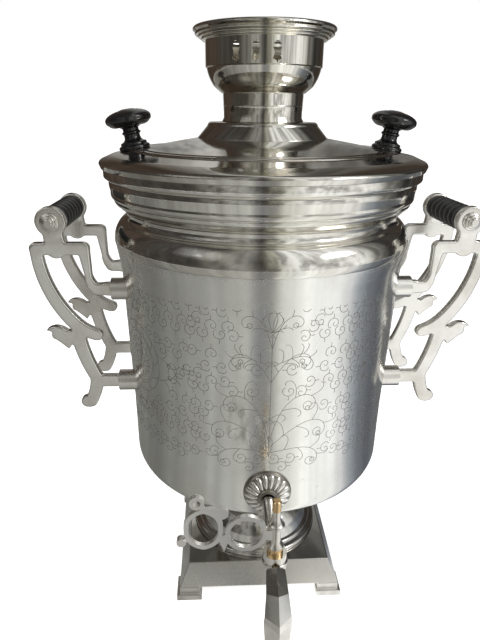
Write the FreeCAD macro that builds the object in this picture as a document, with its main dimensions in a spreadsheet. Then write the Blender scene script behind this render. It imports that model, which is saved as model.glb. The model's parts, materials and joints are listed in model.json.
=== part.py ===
import FreeCAD, Part
import math
import os
import re

import Sketcher

# A charcoal samovar of spun, nickel-plated brass: a drum-shaped water tank round a
# central fire tube, on a hollow pedestal and a square base, with a lift-off lid, a
# crown for the teapot, two side handles and a tap with a turning key.
# All lengths are in millimetres. The origin is on the floor, on the axis of the
# drum, +Z is up and the tap is at the front, towards -Y.

document = FreeCAD.newDocument("Samovar")

# Driving dimensions
SIZES = {
    # Base and feet
    "plate_half": 85, "skirt_half": 97, "skirt_height": 28, "skirt_wall": 3,
    "plate_wall": 3, "draught_radius": 56,
    "foot_height": 17, "ledge_height": 8, "ledge_step": 3.5, "foot_width": 25,
    "foot_wall": 9,
    # Pedestal
    "pedestal_height": 120, "pedestal_radius": 80, "pedestal_wall": 1.2,
    "pedestal_waist": 38, "pedestal_waist_height": 66, "pedestal_lip": 74,
    "bead_height": 6,
    # Drum
    "body_wall": 1.2, "drum_height": 262, "drum_radius": 146.8, "drum_top_radius": 150.4,
    "straight_height": 78, "drum_corner": 18, "bottom_flange": 14, "bottom_wall": 1.5,
    "flare_radius": 154.5, "flare_height": 30,
    # Shoulder
    "shoulder_height": 64.5, "bulge_radius": 155.5, "waist_radius": 142, "neck_radius": 157,
    # Collar that the lid rests on
    "collar_height": 11.5, "collar_radius": 161.5, "collar_ledge": 9,
    # Lid
    "lid_wall": 1.2, "lid_radius": 165, "lid_slope_height": 26.7, "lid_lip_radius": 163.4,
    "cone_foot_radius": 66.2, "cone_height": 15.3, "cone_top_radius": 53, "cone_wall": 1.2,
    "cone_lap": 6, "guide_radius": 149.5, "guide_depth": 12, "guide_wall": 1,
    "rest_gap": 0.3,
    # Lid knobs
    "knob_reach": 130, "knob_tilt": 10, "knob_foot_radius": 15, "knob_neck_radius": 8,
    "knob_cap_radius": 23, "knob_height": 38, "knob_cap_height": 17, "knob_screw_radius": 2.5,
    "knob_washer_radius": 7, "knob_washer_height": 1.2, "knob_screw_head_radius": 4.5,
    "knob_screw_head_height": 2.5, "knob_screw_length": 22,
    # Steam vent
    "vent_reach": 105, "vent_radius": 8, "vent_bore": 4.5, "vent_height": 7,
    "vent_cap_radius": 10, "vent_cap_height": 13, "vent_stem": 6,
    # Fire tube and grate
    "tube_foot_radius": 50, "tube_top_radius": 37.6, "tube_wall": 1.2, "tube_drop": 18,
    "tube_taper_height": 330, "tube_end": 20, "tube_lip": 6,
    "grate_height": 6, "grate_slot": 6, "grate_bar": 6, "grate_gap": 0.5, "grate_slot_length": 60,
    # Crown
    "crown_wall": 1.2, "neck_height": 26, "neck_waist_radius": 39.4, "neck_foot_radius": 41.2,
    "neck_head_radius": 40, "bowl_height": 57.4, "bowl_radius": 57, "bowl_wall_height": 22.5,
    "bowl_curve_height": 23, "rim_radius": 68.6,
    "window_pitch": 19, "window_turn": 12, "window_width": 8.6, "window_height": 13,
    "window_level": 36, "window_bar": 2.2,
    # Handles
    "grip_reach": 211, "grip_level": 453, "bracket_spacing": 87, "bracket_thickness": 8,
    "ring_radius": 15, "ring_thickness": 9, "bar_level": 426, "bar_height": 13,
    "bar_outer": 229, "bar_inner": 182, "bracket_neck_width": 20,
    "leg_width": 12, "leg_narrow": 7.5, "leg_knee": 398, "leg_reach": 179.5,
    "arm_width": 12, "arm_wide": 15, "arm_end_reach": 198, "arm_end_level": 344,
    "curl_reach": 177, "curl_level": 331.5, "curl_width": 13,
    "scroll_reach": 219, "scroll_level": 332, "scroll_width": 11, "scroll_drop": 5,
    "shank_reach": 182, "shank_level": 276, "shank_width": 14,
    "toe_reach": 191, "toe_level": 250, "toe_width": 14,
    "upper_pad_level": 383, "lower_pad_level": 276, "pad_face": 157,
    "pad_radius": 11.5, "limb_width": 14.5,
    "stud_radius": 2.5, "stud_fit": 0.2, "stud_depth": 5, "saddle_radius": 8, "saddle_height": 3,
    "stud_nut_radius": 4.6, "stud_nut_height": 4,
    "rod_radius": 3, "rod_fit": 0.2, "grip_radius": 13.4, "grip_groove": 11.2, "grip_ribs": 7,
    "cap_nut_radius": 9.5, "cap_nut_step": 6.8, "cap_nut_tip": 4.6, "cap_nut_height": 8,
    "rod_tail": 5,
    # Tap
    "tap_level": 191.5, "tap_reach": 219, "tap_slope": 8.5, "pipe_radius": 6.5, "pipe_bore": 3.5,
    "pipe_tail": 16,
    "barrel_radius": 10.3, "barrel_up": 8, "barrel_down": 14, "barrel_ring": 1, "plug_radius": 6.6,
    "plug_foot_radius": 5.6, "plug_clearance": 0.05,
    "rosette_radius": 24, "rosette_depth": 11, "rosette_flutes": 20,
    "rosette_flute": 2.2, "rosette_edge": 2,
    "tap_nut_radius": 12, "tap_nut_height": 6, "tap_seal_radius": 12, "tap_seal_height": 4,
    "spout_start_width": 11.5, "spout_ring_width": 17, "spout_tip_width": 15, "spout_bore": 4,
    "spout_bend": 34, "spout_drop": 22, "spout_slope": 30, "spout_spread": 0.72,
    # Key
    "brass_height": 6, "flange_radius": 7.6, "flange_height": 5, "stem_radius": 4.4,
    "stem_height": 16, "bell_radius": 7, "bell_ring": 4, "bell_height": 14, "stem_tip_radius": 3.9,
    "stem_tip_height": 10,
    "key_thickness": 4, "key_bar": 4, "key_level": 14, "tang_height": 10, "tang_reach": 10,
    "tang_depth": 2.5, "near_loop_reach": 25.5, "near_loop_level": 1, "near_loop_width": 36,
    "near_loop_height": 38, "far_loop_reach": 62, "far_loop_level": 7, "far_loop_width": 33,
    "far_loop_height": 43, "leaf_reach": 44.5, "leaf_level": -8, "leaf_width": 9,
    "leaf_height": 19, "curl_loop_reach": 67, "curl_loop_rise": 35, "curl_loop_width": 13,
    "key_ball_reach": 81, "key_ball_level": -6, "key_ball_radius": 4, "key_tip_reach": 46,
    "key_tip_level": 24, "key_tip_radius": 2.6,
}

# Levels and reaches that follow from the driving dimensions
LEVELS = {
    "plate_top": "foot_height + skirt_height",
    "body_bottom": "plate_top + pedestal_height",
    "crease_level": "body_bottom + drum_height",
    "collar_level": "crease_level + shoulder_height",
    "rim_level": "collar_level + collar_height",
    "lid_seat": "rim_level + rest_gap",
    "cone_base": "lid_seat + lid_slope_height",
    "cone_top": "cone_base + cone_height",
    "neck_foot": "cone_top + rest_gap",
    "bowl_level": "neck_foot + neck_height",
    "crown_top": "bowl_level + bowl_height",
    "tank_floor": "body_bottom + body_wall",
    "tube_foot": "body_bottom - tube_drop",
    "tube_top": "neck_foot + tube_end",
    "half_spacing": "bracket_spacing / 2",
    "knob_slope": "tan(knob_tilt)",
    "knob_seat": "cone_base - (knob_reach - cone_foot_radius) * knob_slope",
    "vent_seat_level": "cone_base - (vent_reach - cone_foot_radius) * knob_slope",
    "rosette_level": "tap_level + (tap_reach - drum_radius) * tan(tap_slope)",
}


def qualified(text):
    """Put the sheet's name before each alias in an expression."""
    def full_name(found):
        word = found.group(0)
        if word in SIZES:
            return "Sizes." + word
        if word in LEVELS:
            return "Levels." + word
        return word
    return re.sub(r"[a-z][a-z_0-9]*", full_name, str(text))


def level_formula(formula):
    """A level's formula in the sheet's own terms: its own names bare, its angles in degrees."""
    own_names = re.sub("Levels[.]", "", qualified(formula))
    return "=" + re.sub(r"tan[(]([^)]*)[)]", r"tan(\1 * 1 deg)", own_names)


def sheet_of(name, entries):
    """Fill a sheet, one row for each named value."""
    sheet = document.addObject("Spreadsheet::Sheet", name)
    for row, (alias, value) in enumerate(entries.items(), start=1):
        sheet.set(f"A{row}", alias)
        sheet.set(f"B{row}", str(value))
        sheet.setAlias(f"B{row}", alias)
    document.recompute()
    return sheet


sizes = sheet_of("Sizes", SIZES)
sheet_of("Levels", {alias: level_formula(formula) for alias, formula in LEVELS.items()})


def measure(text):
    """The present value of an expression."""
    return float(sizes.evalExpression(qualified(text)))


# Tools for sketches

def plane_of(body, role):
    for feature in body.Origin.OriginFeatures:
        if feature.Role == role:
            return feature
    raise ValueError(role)


def new_body(name):
    body = document.addObject("PartDesign::Body", name)
    body.Label = name
    return body


def new_sketch(body, role):
    sketch = body.newObject("Sketcher::SketchObject", body.Name + "_sketch")
    sketch.AttachmentSupport = [(plane_of(body, role), "")]
    sketch.MapMode = "FlatFace"
    return sketch


def bind_constraint(sketch, kind, places, text):
    """Add a dimension whose value follows an expression."""
    index = sketch.addConstraint(Sketcher.Constraint(kind, *places, measure(text)))
    sketch.setExpression(f"Constraints[{index}]", qualified(text))


def hold_point(sketch, edge, end, across, up):
    """Fix a vertex at an expression's distance from the sketch's two axes."""
    for kind, text, axis in (("DistanceX", across, -2), ("DistanceY", up, -1)):
        if text == "0":
            sketch.addConstraint(Sketcher.Constraint("PointOnObject", edge, end, axis))
        else:
            bind_constraint(sketch, kind, (-1, 1, edge, end), text)


def draw_outline(sketch, corners):
    """Draw a closed outline through corners of (across, up, bulge).

    The bulge is the tangent of a quarter of the angle that the arc to the next
    corner turns through: 0 is a straight line, and a positive arc turns left.
    """
    points = [FreeCAD.Vector(measure(c[0]), measure(c[1]), 0) for c in corners]
    first = sketch.GeometryCount
    starts = []
    ends = []
    for number, corner in enumerate(corners):
        start = points[number]
        end = points[(number + 1) % len(points)]
        bulge = corner[2]
        chord = end - start
        if bulge == 0:
            sketch.addGeometry(Part.LineSegment(start, end))
            starts.append(1)
            ends.append(2)
            continue
        middle = (start + end) / 2 + FreeCAD.Vector(chord.y, -chord.x, 0) * (bulge / 2)
        if bulge > 0:
            sketch.addGeometry(Part.Arc(start, middle, end))
        else:
            sketch.addGeometry(Part.Arc(end, middle, start))
        starts.append(1 if bulge > 0 else 2)
        ends.append(2 if bulge > 0 else 1)
    for number, corner in enumerate(corners):
        edge = first + number
        following = (number + 1) % len(corners)
        sketch.addConstraint(Sketcher.Constraint(
            "Coincident", edge, ends[number], first + following, starts[following]))
        hold_point(sketch, edge, starts[number], corner[0], corner[1])
        bulge = abs(corner[2])
        if bulge >= 0.95:
            sketch.addConstraint(Sketcher.Constraint("Symmetric", edge, 1, edge, 2, edge, 3))
        elif bulge > 0:
            other = corners[following]
            across = f"(({other[0]}) - ({corner[0]}))"
            up = f"(({other[1]}) - ({corner[1]}))"
            share = (1 + bulge * bulge) / (4 * bulge)
            bind_constraint(sketch, "Radius", (edge,), f"sqrt({across}^2 + {up}^2) * {share:.7f}")


def draw_circle(sketch, across, up, radius):
    centre = FreeCAD.Vector(measure(across), measure(up), 0)
    edge = sketch.addGeometry(Part.Circle(centre, FreeCAD.Vector(0, 0, 1), measure(radius)))
    hold_point(sketch, edge, 3, across, up)
    bind_constraint(sketch, "Radius", (edge,), radius)


def tangents(corners):
    """Unit tangents at the start and end of each stretch of an open path."""
    points = [FreeCAD.Vector(measure(c[0]), measure(c[1]), 0) for c in corners]
    result = []
    for number in range(len(points) - 1):
        chord = (points[number + 1] - points[number]).normalize()
        half_turn = math.degrees(2 * math.atan(corners[number][2]))
        spin = FreeCAD.Rotation(FreeCAD.Vector(0, 0, 1), half_turn)
        result.append((spin.inverted().multVec(chord), spin.multVec(chord)))
    return result


def wall_outline(path, wall):
    """Close an open path, a sheet's outer side, with its inner side on the left."""
    runs = tangents(path)
    inner = []
    for number, (across, up, _) in enumerate(path):
        if number == 0 or number == len(path) - 1:
            run = runs[0][0] if number == 0 else runs[-1][1]
            normal = FreeCAD.Vector(-run.y, run.x, 0)
            if abs(run.y) > abs(run.x):
                shift = FreeCAD.Vector(1 / normal.x, 0, 0)
            else:
                shift = FreeCAD.Vector(0, 1 / normal.y, 0)
        else:
            before = FreeCAD.Vector(-runs[number - 1][1].y, runs[number - 1][1].x, 0)
            after = FreeCAD.Vector(-runs[number][0].y, runs[number][0].x, 0)
            shift = (before + after) / (1 + before.dot(after))
        bulge = -path[number - 1][2] if number else 0
        inner.append((f"{across} + {wall} * ({shift.x:.6f})",
                      f"{up} + {wall} * ({shift.y:.6f})", bulge))
    outer = path[:-1] + [(path[-1][0], path[-1][1], 0)]
    return outer + inner[::-1]


def revolve(body, corners):
    """Turn an outline in the XZ plane round the Z axis."""
    sketch = new_sketch(body, "XZ_Plane")
    draw_outline(sketch, corners)
    turned = body.newObject("PartDesign::Revolution", body.Name + "_turned")
    turned.Profile = sketch
    turned.ReferenceAxis = (sketch, ["V_Axis"])
    turned.Angle = 360
    return turned


def groove(body, corners):
    """Cut a turned outline out of a body."""
    sketch = new_sketch(body, "XZ_Plane")
    draw_outline(sketch, corners)
    cut = body.newObject("PartDesign::Groove", body.Name + "_groove")
    cut.Profile = sketch
    cut.ReferenceAxis = (sketch, ["V_Axis"])
    cut.Angle = 360
    return cut


def pad(body, sketch, length, symmetric=True):
    solid = body.newObject("PartDesign::Pad", body.Name + "_pad")
    solid.Profile = sketch
    solid.SideType = "Symmetric" if symmetric else "One side"
    solid.setExpression("Length", qualified(length))
    return solid


def pocket(body, sketch, length, symmetric=True, backwards=False):
    cut = body.newObject("PartDesign::Pocket", body.Name + "_pocket")
    cut.Profile = sketch
    cut.SideType = "Symmetric" if symmetric else "One side"
    cut.Reversed = backwards
    cut.setExpression("Length", qualified(length))
    return cut


def place(thing, across="0", deep="0", up="0", axis=None, angle="0"):
    """Tie a sub-part's placement to expressions."""
    if axis:
        thing.Placement = FreeCAD.Placement(
            FreeCAD.Vector(), FreeCAD.Rotation(FreeCAD.Vector(*axis), measure(angle)))
        if re.search("[a-z]", angle):
            thing.setExpression("Placement.Rotation.Angle", qualified(angle))
    for letter, text in (("x", across), ("y", deep), ("z", up)):
        if text != "0":
            thing.setExpression("Placement.Base." + letter, qualified(text))


def spun(name, path, wall):
    """A piece spun from sheet, given by its outer side."""
    body = new_body(name)
    revolve(body, wall_outline(path, wall))
    return body


def turned(name, corners):
    """A solid turned piece."""
    body = new_body(name)
    revolve(body, corners)
    return body


sub_parts = []


def keep(thing, name=None):
    """List a finished sub-part for export under its own label."""
    if name:
        thing.Label = name
    sub_parts.append(thing)
    return thing


# Base: a cast square stand, hollow below, with sloping sides

def wedge(name, low_half, high_half, low, high):
    """A square block whose half width changes from its foot to its top."""
    block = document.addObject("Part::Wedge", name)
    block.Placement = FreeCAD.Placement(
        FreeCAD.Vector(), FreeCAD.Rotation(FreeCAD.Vector(1, 0, 0), 90))
    for letter in ("X", "Z"):
        block.setExpression(letter + "min", qualified(f"-({low_half})"))
        block.setExpression(letter + "max", qualified(low_half))
        block.setExpression(letter + "2min", qualified(f"-({high_half})"))
        block.setExpression(letter + "2max", qualified(high_half))
    block.setExpression("Ymin", qualified(low))
    block.setExpression("Ymax", qualified(high))
    return block


def cylinder(name, radius, height, across="0", deep="0", up="0", axis=None, angle="0"):
    rod = document.addObject("Part::Cylinder", name)
    rod.setExpression("Radius", qualified(radius))
    rod.setExpression("Height", qualified(height))
    place(rod, across, deep, up, axis, angle)
    return rod


def join(kind, name, base, tools):
    """A boolean of one base with one tool, or with several fused tools."""
    if len(tools) > 1:
        tool = document.addObject("Part::MultiFuse", name + "_tools")
        tool.Shapes = tools
    else:
        tool = tools[0]
    result = document.addObject(kind, name)
    result.Base = base
    result.Tool = tool
    return result


skirt_outer = wedge("skirt_outer", "skirt_half", "plate_half", "foot_height", "plate_top")
skirt_inner = wedge("skirt_inner", "skirt_half - skirt_wall", "plate_half - skirt_wall",
                    "foot_height", "plate_top - plate_wall")
draught_hole = cylinder("draught_hole", "draught_radius", "skirt_height", up="foot_height")
keep(join("Part::Cut", "base_skirt", skirt_outer, [skirt_inner, draught_hole]))


def foot(name, quarter):
    """A bracket foot: an L in plan, flush with the skirt above a stepped ledge."""
    body = new_body(name)
    inset = "skirt_half - foot_width"
    thin = "skirt_half - foot_wall"
    for low, high, step in (("0", "ledge_height", "ledge_step"), ("ledge_height", "foot_height", "0")):
        sketch = new_sketch(body, "XY_Plane")
        sketch.setExpression("AttachmentOffset.Base.z", qualified(low))
        face = f"skirt_half + {step}"
        start = f"{inset} - {step} / 2"
        draw_outline(sketch, [(start, thin, 0), (thin, thin, 0), (thin, start, 0), (face, start, 0),
                              (face, face, 0), (start, face, 0)])
        pad(body, sketch, f"({high}) - ({low})", symmetric=False)
    place(body, axis=(0, 0, 1), angle=str(90 * quarter))
    return keep(body)


for quarter, foot_name in enumerate(("foot_rear_right", "foot_rear_left",
                                     "foot_front_left", "foot_front_right")):
    foot(foot_name, quarter)

# Pedestal: a hollow foot that leads air up to the grate, spun in two pieces that meet at a bead

bead_level = "plate_top + pedestal_waist_height"
bead_radius = "pedestal_waist + 2.5"
bead_arc = math.tan(math.atan(0.6) / 2)
keep(spun("pedestal_foot", [
    ("pedestal_radius", "plate_top", 0.5),
    ("pedestal_radius - 3", "plate_top + 6", 0),
    ("pedestal_radius - 6", "plate_top + 6.5", 0.4),
    ("pedestal_radius - 9", "plate_top + 11", 0),
    ("pedestal_radius - 11", "plate_top + 11.5", 0.28),
    ("pedestal_waist + 6", "plate_top + 42", -0.3),
    ("pedestal_waist", f"{bead_level} - bead_height - 2", 0),
    (bead_radius, f"{bead_level} - bead_height", bead_arc),
    (f"{bead_radius} + bead_height * 0.3", f"{bead_level} - bead_height / 2", 0),
], "pedestal_wall"))
keep(spun("pedestal_cup", [
    (f"{bead_radius} + bead_height * 0.3", f"{bead_level} - bead_height / 2", bead_arc),
    (bead_radius, bead_level, 0),
    ("pedestal_waist + 1", f"{bead_level} + 2", -0.3),
    ("tube_foot_radius + 9", "tube_foot - 2", 0),
    ("pedestal_lip - 6", "tank_floor - pedestal_wall - 4", -0.2),
    ("pedestal_lip - 4", "tank_floor - pedestal_wall", 0),
    ("pedestal_lip", "tank_floor - pedestal_wall", 0),
], "pedestal_wall"))

# Tank: the drum, its bottom, the shoulder and the collar

drum_path = [
    ("drum_radius - drum_corner - bottom_flange", "body_bottom", 0),
    ("drum_radius - drum_corner", "body_bottom", math.tan(math.radians(22.5))),
    ("drum_radius", "body_bottom + drum_corner", 0),
    ("drum_radius", "body_bottom + straight_height", 0),
    ("drum_top_radius", "crease_level - flare_height", -0.02),
    ("flare_radius", "crease_level", 0),
]
drum_blank = spun("drum_blank", drum_path, "body_wall")

keep(turned("tank_bottom", [
    ("tube_foot_radius", "tank_floor", 0),
    ("drum_radius - drum_corner - rest_gap", "tank_floor", 0),
    ("drum_radius - drum_corner - rest_gap", "tank_floor + bottom_wall", 0),
    ("tube_foot_radius", "tank_floor + bottom_wall", 0),
]))

keep(spun("shoulder", [
    ("flare_radius", "crease_level", 0),
    ("bulge_radius", "crease_level + 4", 0.22),
    ("waist_radius + 5", "crease_level + 24.5", -0.74),
    ("waist_radius + 5", "crease_level + 38", 0),
    ("neck_radius - 7.5", "crease_level + 41", 0.4),
    ("neck_radius - 4", "crease_level + 46.5", 0.4),
    ("neck_radius - 1.4", "crease_level + 53", 0),
    ("neck_radius", "crease_level + 59.5", 0),
    ("neck_radius", "collar_level", 0),
], "body_wall"))

keep(spun("collar", [
    ("neck_radius", "collar_level", 0),
    ("collar_radius", "collar_level + 3.5", 0),
    ("collar_radius", "rim_level", 0),
    ("collar_radius - collar_ledge", "rim_level", 0),
], "body_wall"))

# Fire tube: a taper that stands in the tank and carries the grate and the crown

keep(spun("fire_tube", [
    ("tube_foot_radius - tube_lip", "tube_foot", 0),
    ("tube_foot_radius", "tube_foot", 0),
    ("tube_foot_radius", "tank_floor + bottom_wall + 8", 0),
    ("tube_top_radius", "tube_foot + tube_taper_height", 0),
    ("tube_top_radius", "tube_top", 0),
], "tube_wall"))

grate = new_body("grate")
grate_sketch = new_sketch(grate, "XY_Plane")
draw_circle(grate_sketch, "0", "0", "tube_foot_radius - tube_wall - grate_gap")
pad(grate, grate_sketch, "grate_height", symmetric=False)
slot_sketch = new_sketch(grate, "XY_Plane")
slot_edge = "-2 * (grate_slot + grate_bar) - grate_slot / 2"
draw_outline(slot_sketch, [
    (slot_edge, "-grate_slot_length / 2", 0),
    (f"{slot_edge} + grate_slot", "-grate_slot_length / 2", 0),
    (f"{slot_edge} + grate_slot", "grate_slot_length / 2", 0),
    (slot_edge, "grate_slot_length / 2", 0),
])
slot = pocket(grate, slot_sketch, "grate_height * 3")
slots = grate.newObject("PartDesign::LinearPattern", "grate_slots")
slots.Originals = [slot]
slots.Direction = (slot_sketch, ["H_Axis"])
slots.setExpression("Length", qualified("4 * (grate_slot + grate_bar)"))
slots.Occurrences = 5
grate.Tip = slots
place(grate, up="tube_foot + tube_wall")
keep(grate)

# Lid: a shallow cone with a raised rim, a collar round the fire tube and a guide ring

lid_blank = spun("lid_blank", [
    ("collar_radius - collar_ledge + 1", "lid_seat", 0),
    ("lid_lip_radius", "lid_seat", 0),
    ("lid_radius", "lid_seat + 4", 0.3),
    ("lid_radius - 3", "lid_seat + 7.5", 0),
    ("lid_radius - 12", "cone_base - (lid_radius - 12 - cone_foot_radius) * knob_slope", 0),
    ("cone_foot_radius", "cone_base", 0),
    ("cone_foot_radius - cone_lap", "cone_base", 0),
], "lid_wall")
back = "10 * sin(knob_tilt * 1 deg)"
down = "10 * cos(knob_tilt * 1 deg)"
lid_holes = [cylinder("screw_hole", "knob_screw_radius + stud_fit", "20",
                      f"{side} * (knob_reach - {back})", "0", f"knob_seat - {down}",
                      (0, 1, 0), f"{side} * knob_tilt") for side in (-1, 1)]
lid_holes.append(cylinder("vent_hole", "vent_bore + 2", "20", "0", f"vent_reach - {back}",
                          f"vent_seat_level - {down}", (1, 0, 0), "-knob_tilt"))
keep(join("Part::Cut", "lid_drilled", lid_blank, lid_holes), "lid")

keep(spun("lid_collar", [
    ("cone_foot_radius", "cone_base", 0),
    ("cone_top_radius + 3", "cone_top - 3.5", 0.3),
    ("cone_top_radius", "cone_top", 0),
    ("tube_top_radius + 2", "cone_top", 0),
], "cone_wall"))

under_lid = "cone_base - lid_wall / cos(knob_tilt * 1 deg) - ({} - cone_foot_radius) * knob_slope"
keep(turned("lid_guide", [
    ("guide_radius - guide_wall", "lid_seat - guide_depth", 0),
    ("guide_radius", "lid_seat - guide_depth", 0),
    ("guide_radius", under_lid.format("guide_radius"), 0),
    ("guide_radius - guide_wall", under_lid.format("(guide_radius - guide_wall)"), 0),
]))

# Lid knobs: turned wood, screwed on from below and leaning with the lid's slope

knob_corners = [
    ("knob_screw_radius + stud_fit", "0", 0),
    ("knob_foot_radius", "0", 0.6),
    ("knob_foot_radius - 1", "5", 0),
    ("knob_foot_radius - 4", "7.5", -0.3),
    ("knob_neck_radius", "13", 0),
    ("knob_neck_radius", "knob_height - knob_cap_height - 1", 0),
    ("knob_neck_radius + 3", "knob_height - knob_cap_height + 1", 0.28),
    ("knob_cap_radius", "knob_height - knob_cap_height / 2", 0.3),
    ("knob_cap_radius - 13", "knob_height - 1.5", 0.1),
    ("3", "knob_height", 0),
    ("0", "knob_height", 0),
    ("0", "knob_screw_length - 3", 0),
    ("knob_screw_radius + stud_fit", "knob_screw_length - 3", 0),
]
for knob_name, side in (("knob_left", -1), ("knob_right", 1)):
    knob = turned(knob_name, knob_corners)
    place(knob, f"{side} * knob_reach", "0", "knob_seat", (0, 1, 0), f"{side} * knob_tilt")
    keep(knob)

screws = []
washers = []
for side in (-1, 1):
    lean = f"{side} * knob_tilt"
    screw = turned("knob_screw", [
        ("0", "-lid_wall - knob_washer_height - knob_screw_head_height", 0),
        ("knob_screw_head_radius", "-lid_wall - knob_washer_height - knob_screw_head_height", 0),
        ("knob_screw_head_radius", "-lid_wall - knob_washer_height", 0),
        ("knob_screw_radius", "-lid_wall - knob_washer_height", 0),
        ("knob_screw_radius", "knob_screw_length - 4", 0),
        ("0", "knob_screw_length - 4", 0),
    ])
    place(screw, f"{side} * knob_reach", "0", "knob_seat", (0, 1, 0), lean)
    screws.append(screw)
    washer = turned("knob_washer", [
        ("knob_screw_radius + stud_fit", "-lid_wall - knob_washer_height", 0),
        ("knob_washer_radius", "-lid_wall - knob_washer_height", 0),
        ("knob_washer_radius", "-lid_wall", 0),
        ("knob_screw_radius + stud_fit", "-lid_wall", 0),
    ])
    place(washer, f"{side} * knob_reach", "0", "knob_seat", (0, 1, 0), lean)
    washers.append(washer)


def group(name, pieces):
    """Identical pieces kept together as one node of separate solids."""
    compound = document.addObject("Part::Compound", name)
    compound.Links = pieces
    return compound


keep(group("knob_screws", screws))
keep(group("knob_washers", washers))

# Steam vent at the back of the lid, with a cap that lifts off

vent_seat = turned("vent_seat", [
    ("vent_bore", "-5", 0),
    ("vent_bore + 2", "-5", 0),
    ("vent_bore + 2", "0", 0),
    ("vent_radius", "0", 0),
    ("vent_radius", "2", 0),
    ("vent_radius - 1.2", "vent_height", 0),
    ("vent_bore", "vent_height", 0),
])
place(vent_seat, "0", "vent_reach", "vent_seat_level", (1, 0, 0), "-knob_tilt")
keep(vent_seat)
vent_cap = turned("vent_cap", [
    ("0", "vent_height - vent_stem", 0),
    ("vent_bore - plug_clearance", "vent_height - vent_stem", 0),
    ("vent_bore - plug_clearance", "vent_height + rest_gap", 0),
    ("vent_cap_radius", "vent_height + rest_gap", 0.5),
    ("vent_cap_radius - 2", "vent_height + 4", 0),
    ("3", "vent_height + 5.5", 0),
    ("3", "vent_height + 7", 0.7),
    ("1", "vent_height + vent_cap_height", 0),
    ("0", "vent_height + vent_cap_height", 0),
])
place(vent_cap, "0", "vent_reach", "vent_seat_level", (1, 0, 0), "-knob_tilt")
keep(vent_cap)

# Crown: a neck that slips over the fire tube and a pierced bowl for the teapot

keep(spun("crown_neck", [
    ("neck_foot_radius", "neck_foot", 0),
    ("neck_waist_radius", "neck_foot + 3.5", 0),
    ("neck_waist_radius", "neck_foot + 10", 0),
    ("neck_head_radius", "bowl_level - 2", 0),
    ("neck_head_radius", "bowl_level", 0),
], "crown_wall"))

bowl = spun("crown_bowl", [
    ("neck_waist_radius - crown_wall", "bowl_level", 0),
    ("neck_head_radius + 1.5", "bowl_level", 0),
    ("neck_head_radius + 8.6", "bowl_level + 5.8", 0.12),
    ("bowl_radius - 1.2", "bowl_level + bowl_curve_height - 1", 0),
    ("bowl_radius", "bowl_level + bowl_curve_height", 0),
    ("bowl_radius", "bowl_level + bowl_curve_height + bowl_wall_height", 0.4),
    ("bowl_radius + 3", "crown_top - 9.5", 0.4),
    ("bowl_radius + 6", "crown_top - 7.5", 0),
    ("rim_radius", "crown_top - 3", 0.4),
    ("rim_radius - 1.6", "crown_top", 0),
], "crown_wall")
window = new_sketch(bowl, "XZ_Plane")
window.setExpression("AttachmentOffset.Base.y", qualified("bowl_level + window_level"))
half = "window_width / 2"
draw_outline(window, [
    (f"-{half}", "0", -0.25),
    (f"-{half} + 1", "-window_height * 0.55", 0),
    (f"-{half}", "-window_height * 0.7", 0),
    ("-1.2", "-window_height * 0.8", 0),
    ("0", "-window_height", 0),
    ("1.2", "-window_height * 0.8", 0),
    (half, "-window_height * 0.7", 0),
    (f"{half} - 1", "-window_height * 0.55", -0.25),
    (half, "0", 0),
])
vase_cut = pocket(bowl, window, "rim_radius", symmetric=False, backwards=True)
lunette = new_sketch(bowl, "XZ_Plane")
lunette.setExpression("AttachmentOffset.Base.y", qualified("bowl_level + window_level + window_bar"))
draw_outline(lunette, [(f"-{half} + 1", "0", 0), (f"{half} - 1", "0", 0.9)])
lunette_cut = pocket(bowl, lunette, "rim_radius", symmetric=False, backwards=True)
windows = bowl.newObject("PartDesign::PolarPattern", "crown_windows")
windows.Originals = [vase_cut, lunette_cut]
windows.Axis = (window, ["V_Axis"])
windows.setExpression("Angle", qualified("2 * window_pitch"))
windows.Occurrences = 3
bowl.Tip = windows
place(bowl, axis=(0, 0, 1), angle="-(window_turn + window_pitch)")
keep(bowl)

# Handle brackets: flat castings, each drawn as limbs between joints of its scroll


def limb(body, role, thickness, start, end, bulge, start_width, end_width, square_end=False):
    """Pad one limb of a casting, between two points of (across, up), with round ends."""
    path = [(start[0], start[1], bulge), (end[0], end[1], 0)]
    leave, arrive = tangents(path)[0]
    corners = []
    for (across, up), run, width in ((start, leave, start_width), (end, arrive, end_width)):
        side = FreeCAD.Vector(run.y, -run.x, 0)
        corners.append(((f"{across} + {width} * ({side.x / 2:.6f})",
                         f"{up} + {width} * ({side.y / 2:.6f})"),
                        (f"{across} - {width} * ({side.x / 2:.6f})",
                         f"{up} - {width} * ({side.y / 2:.6f})")))
    (start_right, start_left), (end_right, end_left) = corners
    sketch = new_sketch(body, role)
    draw_outline(sketch, [
        (*start_right, bulge), (*end_right, 0 if square_end else 1),
        (*end_left, -bulge), (*start_left, 1),
    ])
    return pad(body, sketch, thickness)


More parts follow.
